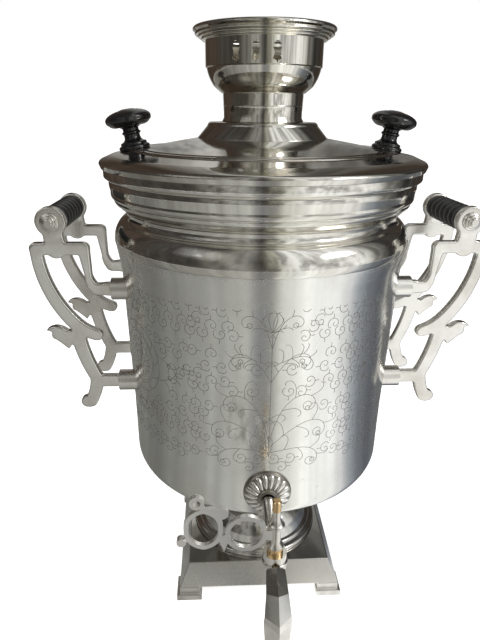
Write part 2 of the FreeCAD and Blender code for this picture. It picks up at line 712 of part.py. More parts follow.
def bracket(name, side, row):
    """One cast bracket, drawn for the right side and turned for the left."""
    body = new_body(name)
    ring_sketch = new_sketch(body, "XZ_Plane")
    draw_circle(ring_sketch, "grip_reach", "grip_level", "ring_radius")
    pad(body, ring_sketch, "ring_thickness")
    ring = ("grip_reach", "grip_level")
    bar_out = ("bar_outer", "bar_level")
    bar_in = ("bar_inner", "bar_level")
    knee = ("leg_reach", "leg_knee")
    bend = ("arm_end_reach", "arm_end_level")
    curl = ("curl_reach", "curl_level")
    scroll = ("scroll_reach", "scroll_level")
    scroll_tip = ("scroll_reach - 1", "scroll_level - scroll_drop")
    fork = ("arm_end_reach - 1", "curl_level - 1")
    shank = ("shank_reach", "shank_level + 4")
    toe = ("toe_reach", "toe_level")
    upper = ("pad_face + 16", "upper_pad_level")
    lower = ("pad_face + 20", "lower_pad_level")
    limbs = [
        (ring, ("grip_reach - 2", "bar_level"), 0, "bracket_neck_width", "bracket_neck_width", False),
        (bar_out, bar_in, 0, "bar_height", "bar_height", False),
        (bar_in, knee, 0, "leg_width", "leg_narrow", False),
        (knee, upper, -0.2, "leg_narrow", "leg_width", False),
        (upper, ("pad_face", "upper_pad_level"), 0, "leg_width", "limb_width", True),
        (bar_out, bend, -0.18, "arm_width", "arm_wide", False),
        (bend, curl, -0.12, "arm_wide", "curl_width", False),
        (fork, scroll, 0.05, "arm_wide", "scroll_width", False),
        (scroll, scroll_tip, 0, "scroll_width", "scroll_width - 2", False),
        (fork, shank, -0.08, "arm_wide", "shank_width", False),
        (shank, toe, 0.12, "shank_width", "toe_width", False),
        (toe, ("toe_reach + 4", "toe_level"), 0, "toe_width", "toe_width", False),
        (lower, ("pad_face", "lower_pad_level"), 0, "shank_width", "limb_width", True),
    ]
    for start, end, bulge, start_width, end_width, square_end in limbs:
        limb(body, "XZ_Plane", "bracket_thickness", start, end, bulge, start_width, end_width, square_end)
    rod_sketch = new_sketch(body, "XZ_Plane")
    draw_circle(rod_sketch, "grip_reach", "grip_level", "rod_radius + rod_fit")
    pocket(body, rod_sketch, "ring_thickness * 2")
    for level in ("upper_pad_level", "lower_pad_level"):
        hole_sketch = new_sketch(body, "YZ_Plane")
        hole_sketch.setExpression("AttachmentOffset.Base.z", qualified("pad_face"))
        draw_circle(hole_sketch, "0", level, "stud_radius + stud_fit")
        pocket(body, hole_sketch, "stud_depth", symmetric=False, backwards=True)
    place(body, "0", f"{row} * half_spacing", "0", (0, 0, 1), "0" if side > 0 else "180")
    return keep(body)


for side, side_name in ((-1, "left"), (1, "right")):
    for row, row_name in ((-1, "front"), (1, "rear")):
        bracket(f"bracket_{side_name}_{row_name}", side, row)

# Grips: ribbed black sleeves on steel rods between the brackets' rings

grip_half = "(half_spacing - ring_thickness / 2)"
rib_count = int(SIZES["grip_ribs"])
grip_corners = [("rod_radius + rod_fit", f"-{grip_half}", 0)]
for rib in range(rib_count):
    level = f"-{grip_half} + {grip_half} * 2 * {rib} / grip_ribs"
    grip_corners.append(("grip_groove", level, 0))
    grip_corners.append(("grip_radius - 0.6", f"{level} + 1.2", 0.18))
    grip_corners.append(("grip_radius - 0.6", f"{level} + {grip_half} * 2 / grip_ribs - 1.2", 0))
grip_corners.append(("grip_groove", grip_half, 0))
grip_corners.append(("rod_radius + rod_fit", grip_half, 0))

nut_face = "half_spacing + ring_thickness / 2"
for side, side_name in ((-1, "left"), (1, "right")):
    reach = f"{side} * grip_reach"
    grip = turned("grip_" + side_name, grip_corners)
    place(grip, reach, "0", "grip_level", (1, 0, 0), "90")
    keep(grip)
    rod = cylinder("grip_rod_" + side_name, "rod_radius", f"2 * ({nut_face} + rod_tail)",
                   reach, f"{nut_face} + rod_tail", "grip_level", (1, 0, 0), "90")
    keep(rod, "grip_rod_" + side_name)

cap_nuts = []
for side in (-1, 1):
    for row in (-1, 1):
        nut = turned("cap_nut", [
            ("rod_radius", "0", 0),
            ("cap_nut_radius", "0", 0),
            ("cap_nut_radius", "1.4", 0.3),
            ("cap_nut_step + 0.6", "3", 0),
            ("cap_nut_step", "3.4", 0),
            ("cap_nut_step", "4.4", 0.3),
            ("cap_nut_tip + 0.4", "5.6", 0),
            ("cap_nut_tip", "6", 0),
            ("cap_nut_tip", "cap_nut_height - 1", 0.3),
            ("cap_nut_tip - 1.6", "cap_nut_height", 0),
            ("0", "cap_nut_height", 0),
            ("0", "rod_tail", 0),
            ("rod_radius", "rod_tail", 0),
        ])
        place(nut, f"{side} * grip_reach", f"{row} * ({nut_face})", "grip_level",
              (1, 0, 0), "90" if row < 0 else "-90")
        cap_nuts.append(nut)
keep(group("cap_nuts", cap_nuts))

# Handle pads, studs and saddles: each bracket is held to the drum at two levels

envelope = turned("drum_envelope", [("0", "body_bottom", 0)] + drum_path[1:] + [("0", "crease_level", 0)])
inner_path = wall_outline(drum_path, "body_wall")[len(drum_path):][::-1]
drum_core = turned("drum_core", [("0", "tank_floor", 0)]
                   + [(across, up, 0) for across, up, _ in inner_path[1:]]
                   + [("0", "crease_level", 0)])


def across_rod(name, side, row, level, radius, start, end):
    """A round rod along X between two reaches."""
    length = f"({end}) - ({start})"
    origin = start if side > 0 else f"-({start})"
    return cylinder(name, radius, length, origin, f"{row} * half_spacing", level,
                    (0, 1, 0), "90" if side > 0 else "-90")


places = []
for level in ("upper_pad_level", "lower_pad_level"):
    for side in (-1, 1):
        for row in (-1, 1):
            places.append((side, row, level))


def rods(name, radius, start, end, spots):
    return [across_rod(name, side, row, level, radius, start, end) for side, row, level in spots]


inside_reach = "sqrt(drum_radius^2 - (half_spacing + saddle_radius)^2) - body_wall - saddle_height"
for pad_node, pad_spots in (("upper_handle_pads", places[:4]), ("lower_handle_pads", places[4:])):
    blocks = group(pad_node + "_blocks", rods("pad_block", "pad_radius", "drum_radius - 30", "pad_face", pad_spots))
    holes = group(pad_node + "_holes", rods("pad_hole", "stud_radius + stud_fit", "drum_radius - 30",
                                            "pad_face + 5", pad_spots))
    around = join("Part::Cut", pad_node + "_seated", blocks, [envelope])
    keep(join("Part::Cut", pad_node, around, [holes]))

saddle_blocks = group("saddle_blocks", rods("saddle_block", "saddle_radius", inside_reach,
                                            "drum_radius", places))
saddle_holes = group("saddle_holes", rods("saddle_hole", "stud_radius + stud_fit", "drum_radius - 60",
                                          "pad_face", places))
saddles_seated = join("Part::Common", "saddles_seated", saddle_blocks, [drum_core])
keep(join("Part::Cut", "handle_saddles", saddles_seated, [saddle_holes]))
keep(group("handle_studs", rods("handle_stud", "stud_radius", f"{inside_reach} - stud_nut_height - 1",
                                "pad_face + stud_depth", places)))
nut_blocks = group("nut_blocks", rods("nut_block", "stud_nut_radius", f"{inside_reach} - stud_nut_height",
                                      inside_reach, places))
keep(join("Part::Cut", "handle_nuts", nut_blocks, [group("nut_holes", rods(
    "nut_hole", "stud_radius", "drum_radius - 60", "pad_face", places))]))

# Tap: a cast body with a horizontal pipe through the drum's wall and an upright barrel

tap = new_body("tap_body")
pipe_length = "tap_reach - drum_radius + pipe_tail"


def sloped_sketch():
    """A sketch square to the pipe, which rises from the barrel to the drum."""
    sketch = new_sketch(tap, "XZ_Plane")
    sketch.AttachmentOffset = FreeCAD.Placement(
        FreeCAD.Vector(), FreeCAD.Rotation(FreeCAD.Vector(1, 0, 0), measure("tap_slope")))
    sketch.setExpression("AttachmentOffset.Rotation.Angle", qualified("tap_slope"))
    return sketch


def along_pipe(name, radius, length, start):
    """A rod on the pipe's axis, from a distance off the barrel's axis."""
    return cylinder(name, radius, length, "0", f"-tap_reach + ({start}) * cos(tap_slope * 1 deg)",
                    f"tap_level + ({start}) * sin(tap_slope * 1 deg)", (1, 0, 0), "tap_slope - 90")


pipe_sketch = sloped_sketch()
draw_circle(pipe_sketch, "0", "0", "pipe_radius")
pipe_pad = pad(tap, pipe_sketch, pipe_length, symmetric=False)
pipe_pad.Reversed = True
revolve(tap, [
    ("0", "-barrel_down", 0),
    ("barrel_radius - 2", "-barrel_down", 0),
    ("barrel_radius", "-barrel_down + 3", 0),
    ("barrel_radius", "-barrel_down + 8", 0.5),
    ("barrel_radius + barrel_ring - 1", "-barrel_down + 10.5", 0),
    ("barrel_radius + barrel_ring", "-barrel_down + 11", 0.5),
    ("barrel_radius", "-barrel_down + 14", 0),
    ("barrel_radius", "barrel_up", 0),
    ("0", "barrel_up", 0),
])
groove(tap, [
    ("0", "-barrel_down", 0),
    ("plug_foot_radius + plug_clearance", "-barrel_down", 0),
    ("plug_radius + plug_clearance", "barrel_up", 0),
    ("0", "barrel_up", 0),
])
bore_sketch = sloped_sketch()
draw_circle(bore_sketch, "0", "0", "pipe_bore")
pocket(tap, bore_sketch, f"2 * ({pipe_length}) + 20")
place(tap, "0", "-tap_reach", "tap_level")
keep(tap)

rosette = turned("rosette_blank", [
    ("0", "drum_radius - 6", 0),
    ("rosette_radius", "drum_radius - 6", 0),
    ("rosette_radius", "drum_radius + rosette_edge - 1", 0.32),
    ("pipe_radius + 3", "drum_radius + rosette_depth", 0),
    ("0", "drum_radius + rosette_depth", 0),
])
flute_sketch = new_sketch(rosette, "XZ_Plane")
draw_circle(flute_sketch, "rosette_radius + rosette_flute / 4", "drum_radius + rosette_edge + rosette_flute",
            "rosette_flute")
flute = rosette.newObject("PartDesign::Pocket", "flute")
flute.Profile = flute_sketch
flute.SideType = "Symmetric"
flute.setExpression("Length", qualified("rosette_flute * 1.5"))
flutes = rosette.newObject("PartDesign::PolarPattern", "rosette_flutes_pattern")
flutes.Originals = [flute]
flutes.Axis = (flute_sketch, ["V_Axis"])
flutes.Angle = 360
flutes.setExpression("Occurrences", qualified("rosette_flutes"))
rosette.Tip = flutes
place(rosette, "0", "0", "rosette_level", (1, 0, 0), "90")
pipe_way = "tap_reach - drum_radius - 20"
rosette_hole = along_pipe("rosette_hole", "pipe_radius", "60", pipe_way)
keep(join("Part::Cut", "rosette", rosette, [envelope, rosette_hole]))

# Holes in the drum for the tap's pipe and the handles' studs

pipe_hole = along_pipe("pipe_hole", "pipe_radius + stud_fit", "60", pipe_way)
stud_holes = group("stud_holes", rods("stud_hole", "stud_radius + stud_fit", "drum_radius - 30",
                                      "pad_face", places))
keep(join("Part::Cut", "drum_shell", drum_blank, [pipe_hole, stud_holes]))

seal_start = "(tap_reach - drum_radius) / cos(tap_slope * 1 deg) + body_wall - 3"
seal_end = f"{seal_start} + 3 + tap_seal_height"
seal_block = along_pipe("seal_block", "tap_seal_radius", "tap_seal_height + 3", seal_start)
seal_hole = along_pipe("seal_hole", "pipe_radius + stud_fit", "60", pipe_way)
seal_seated = join("Part::Common", "seal_seated", seal_block, [drum_core])
keep(join("Part::Cut", "tap_seal", seal_seated, [seal_hole]))

tap_nut = new_body("tap_nut")
hexagon = new_sketch(tap_nut, "XZ_Plane")
corner_texts = []
for corner in range(6):
    turn = math.radians(60 * corner)
    corner_texts.append((f"tap_nut_radius * ({math.cos(turn):.6f})",
                         f"tap_nut_radius * ({math.sin(turn):.6f})" if corner % 3 else "0", 0))
draw_outline(hexagon, corner_texts)
draw_circle(hexagon, "0", "0", "pipe_radius")
nut_pad = pad(tap_nut, hexagon, "tap_nut_height", symmetric=False)
nut_pad.Reversed = True
place(tap_nut, "0", f"-tap_reach + ({seal_end}) * cos(tap_slope * 1 deg)",
      f"tap_level + ({seal_end}) * sin(tap_slope * 1 deg)", (1, 0, 0), "tap_slope")
keep(tap_nut)

# Spout: a faceted beak, square on edge, that bends down in front of the barrel

spout = new_body("spout")
stations = (("0", "spout_start_width"), ("0.4", "spout_start_width + 2"),
            ("0.85", "spout_ring_width - 1"), ("1", "spout_ring_width"))
sections = []


def spout_sketch(deep, up, angle):
    """A sketch across the spout's path."""
    sketch = new_sketch(spout, "XZ_Plane")
    sketch.AttachmentOffset = FreeCAD.Placement(
        FreeCAD.Vector(0, measure(up), measure(deep)),
        FreeCAD.Rotation(FreeCAD.Vector(1, 0, 0), measure(angle)))
    sketch.setExpression("AttachmentOffset.Base.y", qualified(up))
    sketch.setExpression("AttachmentOffset.Base.z", qualified(deep))
    sketch.setExpression("AttachmentOffset.Rotation.Angle", qualified(angle))
    return sketch


def spout_section(width, deep, up, angle):
    """A square section on edge."""
    sketch = spout_sketch(deep, up, angle)
    half_diagonal = f"({width}) * spout_spread"
    draw_outline(sketch, [(half_diagonal, "0", 0), ("0", half_diagonal, 0),
                          (f"-({half_diagonal})", "0", 0), ("0", f"-({half_diagonal})", 0)])
    return sketch


def spout_point(share):
    """Place and angle at a share of the spout's bend, from its slope to upright."""
    angle = f"(spout_slope + (90 - spout_slope) * {share})"
    deep = f"(barrel_radius - 1 + spout_bend * (sin({angle} * 1 deg) - sin(spout_slope * 1 deg)) * 1.6)"
    up = f"(-4 - spout_bend * (cos(spout_slope * 1 deg) - cos({angle} * 1 deg)))"
    return deep, up, angle


for share, width in stations:
    deep, up, angle = spout_point(share)
    sections.append(spout_section(width, deep, up, angle))
deep, up, angle = spout_point("1")
sections.append(spout_section("spout_tip_width", deep, f"{up} - spout_drop", angle))
loft = spout.newObject("PartDesign::AdditiveLoft", "spout_loft")
loft.Profile = sections[0]
loft.Sections = sections[1:]
loft.Ruled = True
place(spout, "0", "-tap_reach", "tap_level")

bore_sections = []
for share, width in (stations[0], stations[2], stations[3]):
    deep, up, angle = spout_point(share)
    bore_sections.append((deep, up, angle))
bore_sections.append((deep, f"{up} - spout_drop", angle))
bores = []
for deep, up, angle in bore_sections:
    circle_sketch = spout_sketch(deep, up, angle)
    draw_circle(circle_sketch, "0", "0", "spout_bore")
    bores.append(circle_sketch)
bore = spout.newObject("PartDesign::SubtractiveLoft", "spout_bore_loft")
bore.Profile = bores[0]
bore.Sections = bores[1:]
barrel_core = cylinder("barrel_core", "barrel_radius - 1", "barrel_down + barrel_up", "0", "-tap_reach",
                       "tap_level - barrel_down")
keep(join("Part::Cut", "spout_seated", spout, [tap, barrel_core]), "spout_beak")

# Key: a tapered plug with a bored port, its stem, and a flat scrolled handle

plug = new_body("key_plug")
brass_top = "barrel_up + brass_height"
flange_top = f"{brass_top} + flange_height"
ring_foot = f"{flange_top} + stem_height"
bell_foot = f"{ring_foot} + bell_ring"
tip_foot = f"{bell_foot} + bell_height"
revolve(plug, [
    ("0", "-barrel_down - 1.5", 0),
    ("plug_foot_radius - 1", "-barrel_down - 1.5", 0),
    ("plug_foot_radius", "-barrel_down", 0),
    ("plug_radius", "barrel_up", 0),
    ("plug_radius + 0.6", "barrel_up + rest_gap", 0),
    ("plug_radius + 0.6", brass_top, 0),
    ("flange_radius", f"{brass_top} + 1", 0),
    ("stem_radius", flange_top, 0),
    ("stem_radius", ring_foot, 0),
    ("bell_radius", f"{ring_foot} + 1", 0.4),
    ("bell_radius", bell_foot, 0),
    ("bell_radius - 0.8", f"{bell_foot} + 0.5", -0.2),
    ("stem_tip_radius", tip_foot, 0),
    ("stem_tip_radius", f"{tip_foot} + stem_tip_height - 1", 0),
    ("stem_tip_radius - 1", f"{tip_foot} + stem_tip_height", 0),
    ("0", f"{tip_foot} + stem_tip_height", 0),
])
port_sketch = new_sketch(plug, "YZ_Plane")
draw_circle(port_sketch, "0", "0", "pipe_bore")
pocket(plug, port_sketch, "plug_radius * 4")
place(plug, "0", "-tap_reach", "tap_level")
keep(plug)

handle = new_body("key_handle")


def key_loop(reach, level, width, height, bar):
    """An oval ring of the handle, of even thickness."""
    quarter_arc = math.tan(math.radians(22.5))
    sketch = new_sketch(handle, "XZ_Plane")
    for inset in ("0", bar):
        across_half = f"({width} / 2 - {inset})"
        up_half = f"({height} / 2 - {inset})"
        draw_outline(sketch, [
            (f"-({reach}) + {across_half}", level, quarter_arc),
            (f"-({reach})", f"{level} + {up_half}", quarter_arc),
            (f"-({reach}) - {across_half}", level, quarter_arc),
            (f"-({reach})", f"{level} - {up_half}", quarter_arc),
        ])
    pad(handle, sketch, "key_thickness")


def key_ball(reach, level, radius):
    """A round boss that ends a scroll."""
    sketch = new_sketch(handle, "XZ_Plane")
    draw_circle(sketch, f"-({reach})", level, radius)
    pad(handle, sketch, f"{radius} * 1.5")


key_loop("near_loop_reach", "near_loop_level", "near_loop_width", "near_loop_height", "key_bar")
key_loop("far_loop_reach", "far_loop_level", "far_loop_width", "far_loop_height", "key_bar")
key_loop("curl_loop_reach", "curl_loop_rise", "curl_loop_width", "curl_loop_width", "key_bar * 0.8")
leaf_sketch = new_sketch(handle, "XZ_Plane")
draw_outline(leaf_sketch, [
    ("-leaf_reach + leaf_width / 2", "leaf_level + 3", 0),
    ("-leaf_reach", "leaf_level + leaf_height / 2", 0),
    ("-leaf_reach - leaf_width / 2", "leaf_level + 3", 0),
    ("-leaf_reach", "leaf_level - leaf_height / 2", 0),
])
pad(handle, leaf_sketch, "key_thickness")
key_ball("key_ball_reach", "key_ball_level", "key_ball_radius")
key_ball("key_tip_reach", "key_tip_level", "key_tip_radius")
limb(handle, "XZ_Plane", "key_thickness", ("-key_tip_reach", "key_tip_level"),
     ("-far_loop_reach", "far_loop_level + far_loop_height / 2 - 2"), 0.1, "key_bar - 1", "key_bar")
limb(handle, "XZ_Plane", "key_thickness", ("-curl_loop_reach + 4", "curl_loop_rise - 4"),
     ("-far_loop_reach", "far_loop_level + far_loop_height / 2 - 2"), 0, "key_bar", "key_bar")
limb(handle, "XZ_Plane", "key_thickness", ("-key_ball_reach", "key_ball_level"),
     ("-far_loop_reach - far_loop_width / 2 + 3", "key_ball_level + 3"), 0, "key_bar", "key_bar")
tang_sketch = new_sketch(handle, "XZ_Plane")
tang_foot = "-tang_height / 2"
draw_outline(tang_sketch, [
    ("-tang_reach", tang_foot, 0), ("-stem_radius + tang_depth", tang_foot, 0),
    ("-stem_radius + tang_depth", "tang_height / 2", 0), ("-tang_reach", "tang_height / 2", 0),
])
pad(handle, tang_sketch, "key_thickness + 2")
place(handle, "0", "-tap_reach", f"tap_level + {flange_top} + key_level - tang_height / 2")
keep(handle)

# Check every object, then write one file for each sub-part

document.recompute()
for thing in document.Objects:
    if "Invalid" in thing.State or "Error" in thing.State:
        raise RuntimeError(f"{thing.Label} failed: {thing.State}")
for thing in sub_parts:
    if thing.Shape.isNull() or not thing.Shape.isValid():
        raise RuntimeError(f"{thing.Label} has no valid shape")

os.makedirs("parts", exist_ok=True)
for thing in sub_parts:
    print(thing.Label, len(thing.Shape.Solids), round(thing.Shape.Volume, 1))
    thing.Shape.exportStep(f"parts/{thing.Label}.step")
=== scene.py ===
import cmath
import json
import math

import bpy
from mathutils import Euler, Matrix, Vector

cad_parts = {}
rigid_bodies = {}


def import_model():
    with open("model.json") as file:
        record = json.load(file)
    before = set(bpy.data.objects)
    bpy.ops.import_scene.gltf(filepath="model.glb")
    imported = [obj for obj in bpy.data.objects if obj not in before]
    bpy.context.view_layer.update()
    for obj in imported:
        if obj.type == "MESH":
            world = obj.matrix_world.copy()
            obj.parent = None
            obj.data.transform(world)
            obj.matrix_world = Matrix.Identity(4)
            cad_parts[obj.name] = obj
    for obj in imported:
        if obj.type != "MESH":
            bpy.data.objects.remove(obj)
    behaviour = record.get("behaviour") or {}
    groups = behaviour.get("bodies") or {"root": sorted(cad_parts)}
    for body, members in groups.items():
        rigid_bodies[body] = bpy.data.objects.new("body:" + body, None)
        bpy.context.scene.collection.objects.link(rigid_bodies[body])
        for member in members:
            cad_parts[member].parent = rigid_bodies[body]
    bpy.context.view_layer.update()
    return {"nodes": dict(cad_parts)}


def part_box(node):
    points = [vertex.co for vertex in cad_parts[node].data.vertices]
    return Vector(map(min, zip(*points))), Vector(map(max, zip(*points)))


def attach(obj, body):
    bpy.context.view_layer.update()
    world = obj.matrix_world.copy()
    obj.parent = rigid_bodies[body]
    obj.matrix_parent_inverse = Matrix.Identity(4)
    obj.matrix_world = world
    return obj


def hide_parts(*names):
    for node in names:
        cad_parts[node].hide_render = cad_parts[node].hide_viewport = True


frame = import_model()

# A nickel-plated charcoal samovar. Its solids come from the frame, and each section
# below makes the finished form of one piece, or group of like pieces, in the order in
# which the real one is put together, from the feet up.


# Base: a cast square stand, hollow below, on four bracket feet. It is satin nickel plate with a
# top polished like a mirror, whose colour is painted darker as a painted dark reflection, and
# its edges are rounded by polishing.

MM = 0.001


class Wire:
    """A shader socket in an expression. Sums and products add Math nodes behind it."""

    def __init__(self, tree, socket):
        self.tree = tree
        self.socket = socket

    def node(self, kind, inputs, settings=None, stops=None, output=0):
        """Add a node of any kind, set it up, link or fill its sockets, and give one output."""
        added = self.tree.nodes.new(kind)
        for name, value in (settings or {}).items():
            setattr(added, name, value)
        if stops:
            while len(added.color_ramp.elements) < len(stops):
                added.color_ramp.elements.new(1)
            for element, (position, colour) in zip(added.color_ramp.elements, stops):
                element.position = position
                element.color = (*colour, 1)
        for place, value in inputs.items():
            if isinstance(value, Wire):
                self.tree.links.new(value.socket, added.inputs[place])
            else:
                added.inputs[place].default_value = value
        return Wire(self.tree, added.outputs[output])

    def maths(self, operation, *others):
        inputs = dict(enumerate((self, *others)))
        return self.node("ShaderNodeMath", inputs, {"operation": operation})

    def __add__(self, other):
        return self.maths("ADD", other)

    __radd__ = __add__

    def __mul__(self, other):
        return self.maths("MULTIPLY", other)

    __rmul__ = __mul__

    def __sub__(self, other):
        return self.maths("SUBTRACT", other)

    def __rsub__(self, other):
        return self.node("ShaderNodeMath", {0: other, 1: self}, {"operation": "SUBTRACT"})

    def __truediv__(self, other):
        return self.maths("DIVIDE", other)

    def clipped(self, low, high):
        """0 below low, 1 above high, and an even slope between."""
        return self.node("ShaderNodeMapRange", {"Value": self, "From Min": low, "From Max": high})

    def mixed(self, first, second):
        """One colour where the value is 0, the other where it is 1."""
        inputs = {0: self, 6: first, 7: second}
        return self.node("ShaderNodeMix", inputs, {"data_type": "RGBA"}, output=2)


def new_finish(name):
    """An empty finish: its material, its shader, and its wire of Object coordinates."""
    finish = bpy.data.materials.new(name)
    finish.use_nodes = True
    tree = finish.node_tree
    shader = tree.nodes["Principled BSDF"]
    place = Wire(tree, None).node("ShaderNodeTexCoord", {}, output="Object")
    return finish, shader, place


def noise(place, scale, detail=2.0, roughness=0.5, stretch=(1, 1, 1)):
    """Cloudy values round 0.5, stretched along the axes where the stretch is small."""
    at = place.node("ShaderNodeMapping", {"Vector": place, "Scale": stretch})
    inputs = {"Vector": at, "Scale": scale, "Detail": detail, "Roughness": roughness}
    return at.node("ShaderNodeTexNoise", inputs)


def plug_in(shader, **wires):
    """Link wires to the sockets of a shader, with spaces for underscores."""
    for name, wire in wires.items():
        socket = shader.inputs[name.replace("_", " ")]
        wire.tree.links.new(wire.socket, socket)


def nickel(name, tone, stain, gloss, dent, rings=0.0, scratch=0.6, speckle=1.0,
           mirror_and_painted_dark_from=None):
    """Nickel plate: worn scratches, a few dull spots and, where spun, fine rings and dents.

    Gloss is the least roughness, and dent the depth of soft dents in millimetres. Above the
    level mirror_and_painted_dark_from, in metres, it is polished like a mirror, and its colour is
    painted darker there as a painted dark reflection.
    """
    finish, shader, place = new_finish(name)
    shader.inputs["Metallic"].default_value = 1
    parts = place.node("ShaderNodeSeparateXYZ", {"Vector": place})
    level = Wire(parts.tree, parts.socket.node.outputs["Z"])
    around = Wire(parts.tree, parts.socket.node.outputs["Y"]).maths("ARCTAN2", parts)
    reach = place.node("ShaderNodeVectorMath", {0: place, 1: (1, 1, 0)}, {"operation": "MULTIPLY"})
    reach = reach.node("ShaderNodeVectorMath", {0: reach}, {"operation": "LENGTH"}, output="Value")
    run = level + reach
    turned_place = run.node("ShaderNodeCombineXYZ", {"X": run, "Y": around * 0.02, "Z": 0.0})
    fine_rings = noise(turned_place, 900, 3, 0.7)
    hair = noise(place, 60, 5, 0.75, (1, 1, 9))
    cross_hair = noise(place, 75, 5, 0.75, (5, 5, 1))
    scratches = hair.maths("MAXIMUM", cross_hair).clipped(0.56, 0.72)
    clouds = noise(place, 14, 4, 0.6)
    spots = noise(place, 120, 3, 0.6).clipped(0.64, 0.74)
    patches = clouds.clipped(0.42, 0.72)
    colour = patches.mixed((*tone, 1), (*stain, 1))
    colour = (spots * (0.55 * speckle)).mixed(colour, (*(part * 0.45 for part in stain), 1))
    roughness = patches * 0.10 + scratches * (0.22 * scratch) + fine_rings * (0.10 * rings) + gloss
    if mirror_and_painted_dark_from:
        mirror_and_painted_dark_top = level.clipped(mirror_and_painted_dark_from - 0.5 * MM, mirror_and_painted_dark_from)
        roughness = roughness - mirror_and_painted_dark_top * (gloss - 0.07)
        # Above this level the colour is painted darker, as a painted dark reflection; the lower
        # roughness is the real polish.
        colour = mirror_and_painted_dark_top.mixed(colour, (0.58, 0.57, 0.54, 1))
    soft_dents = noise(place, 9, 1.5, 0.4)
    bump = place.node("ShaderNodeBump", {
        "Height": soft_dents, "Strength": 1.0, "Distance": dent * MM})
    fine = scratches * -0.5 + fine_rings * rings
    bump = place.node("ShaderNodeBump", {
        "Height": fine, "Normal": bump, "Strength": 0.4, "Distance": 0.008 * MM})
    plug_in(shader, Base_Color=colour, Roughness=roughness, Normal=bump)
    return finish


def alone(piece):
    """Select one object, and nothing else, and make it the one that is worked on."""
    bpy.ops.object.select_all(action="DESELECT")
    piece.select_set(True)
    bpy.context.view_layer.objects.active = piece


def finish_with(piece, kind, **settings):
    """Add a modifier, set it up and apply it."""
    alone(piece)
    bpy.ops.object.modifier_add(type=kind)
    modifier = piece.modifiers[-1]
    for name, value in settings.items():
        setattr(modifier, name, value)
    bpy.ops.object.modifier_apply(modifier=modifier.name)


def polish_edges(piece, edge, sharpest):
    """Round the edges of a piece by so many metres, and shade it as one smooth casting."""
    finish_with(piece, "BEVEL", width=edge, segments=3, limit_method="ANGLE",
                angle_limit=math.radians(sharpest), use_clamp_overlap=True)
    bpy.ops.object.shade_smooth_by_angle(angle=math.radians(sharpest))
    finish_with(piece, "WEIGHTED_NORMAL", keep_sharp=True, weight=80)


def dress(piece, body, slot, finish, *nodes):
    """Give a finished piece its material and body, and the solids that it stands for; the slot is not
    used.
    """
    piece.data.materials.clear()
    piece.data.materials.append(finish)
    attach(piece, body)
    if nodes:
        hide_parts(*nodes)


def cast(node, name, edge, sharpest=32):
    """A casting: a merged copy of a solid of the frame, with whole faces and rounded edges.

    The edge is the rounding in metres, and 0 leaves the edges as they are.
    """
    alone(frame["nodes"][node])
    bpy.ops.object.duplicate()
    piece = bpy.context.object
    bpy.ops.object.parent_clear(type="CLEAR_KEEP_TRANSFORM")
    piece.name = name
    bpy.ops.object.mode_set(mode="EDIT")
    bpy.ops.mesh.select_all(action="SELECT")
    bpy.ops.mesh.customdata_custom_splitnormals_clear()
    bpy.ops.mesh.remove_doubles(threshold=0.002 * MM)
    bpy.ops.mesh.dissolve_limited(angle_limit=math.radians(0.4))
    bpy.ops.mesh.normals_make_consistent(inside=False)
    bpy.ops.object.mode_set(mode="OBJECT")
    if edge:
        polish_edges(piece, edge, sharpest)
    else:
        bpy.ops.object.shade_smooth_by_angle(angle=math.radians(sharpest))
    return piece


# The base's top, above 44.6 mm, has a painted dark reflection in its colour as well as its polish.
base_finish = nickel("satin_base_nickel", (0.84, 0.83, 0.79), (0.68, 0.66, 0.62),
                     gloss=0.26, dent=0.25, speckle=0.3, mirror_and_painted_dark_from=44.6 * MM)
skirt = cast("base_skirt", "base_skirt_polished", 1.2 * MM)
dress(skirt, "body", "base_nickel", base_finish, "base_skirt")
for foot_node in ("foot_front_left", "foot_front_right", "foot_rear_left", "foot_rear_right"):
    foot = cast(foot_node, foot_node + "_polished", 0.9 * MM)
    dress(foot, "body", "base_nickel", base_finish, foot_node)


# Pedestal: a hollow foot, spun from sheet brass in two pieces that are soldered at the
# bead, then plated and polished. Air is drawn up through it to the fire.

def traced(outline, finest=8):
    """The points of an outline of (reach, rise, bulge), with its arcs drawn in short steps.

    The bulge is the tangent of a quarter of the arc's turn: 0 is straight, and positive
    turns left.
    """
    points = []
    for (reach, rise, bulge), (next_reach, next_rise, _) in zip(outline, outline[1:]):
        start = complex(reach, rise)
        points.append(start)
        if bulge:
            turn = 4 * math.atan(bulge)
            steps = max(2, math.ceil(abs(math.degrees(turn)) / finest))
            arm = (complex(next_reach, next_rise) - start) / (cmath.exp(1j * turn) - 1)
            for step in range(1, steps):
                points.append(start - arm + arm * cmath.exp(1j * turn * step / steps))
    points.append(complex(outline[-1][0], outline[-1][1]))
    return points


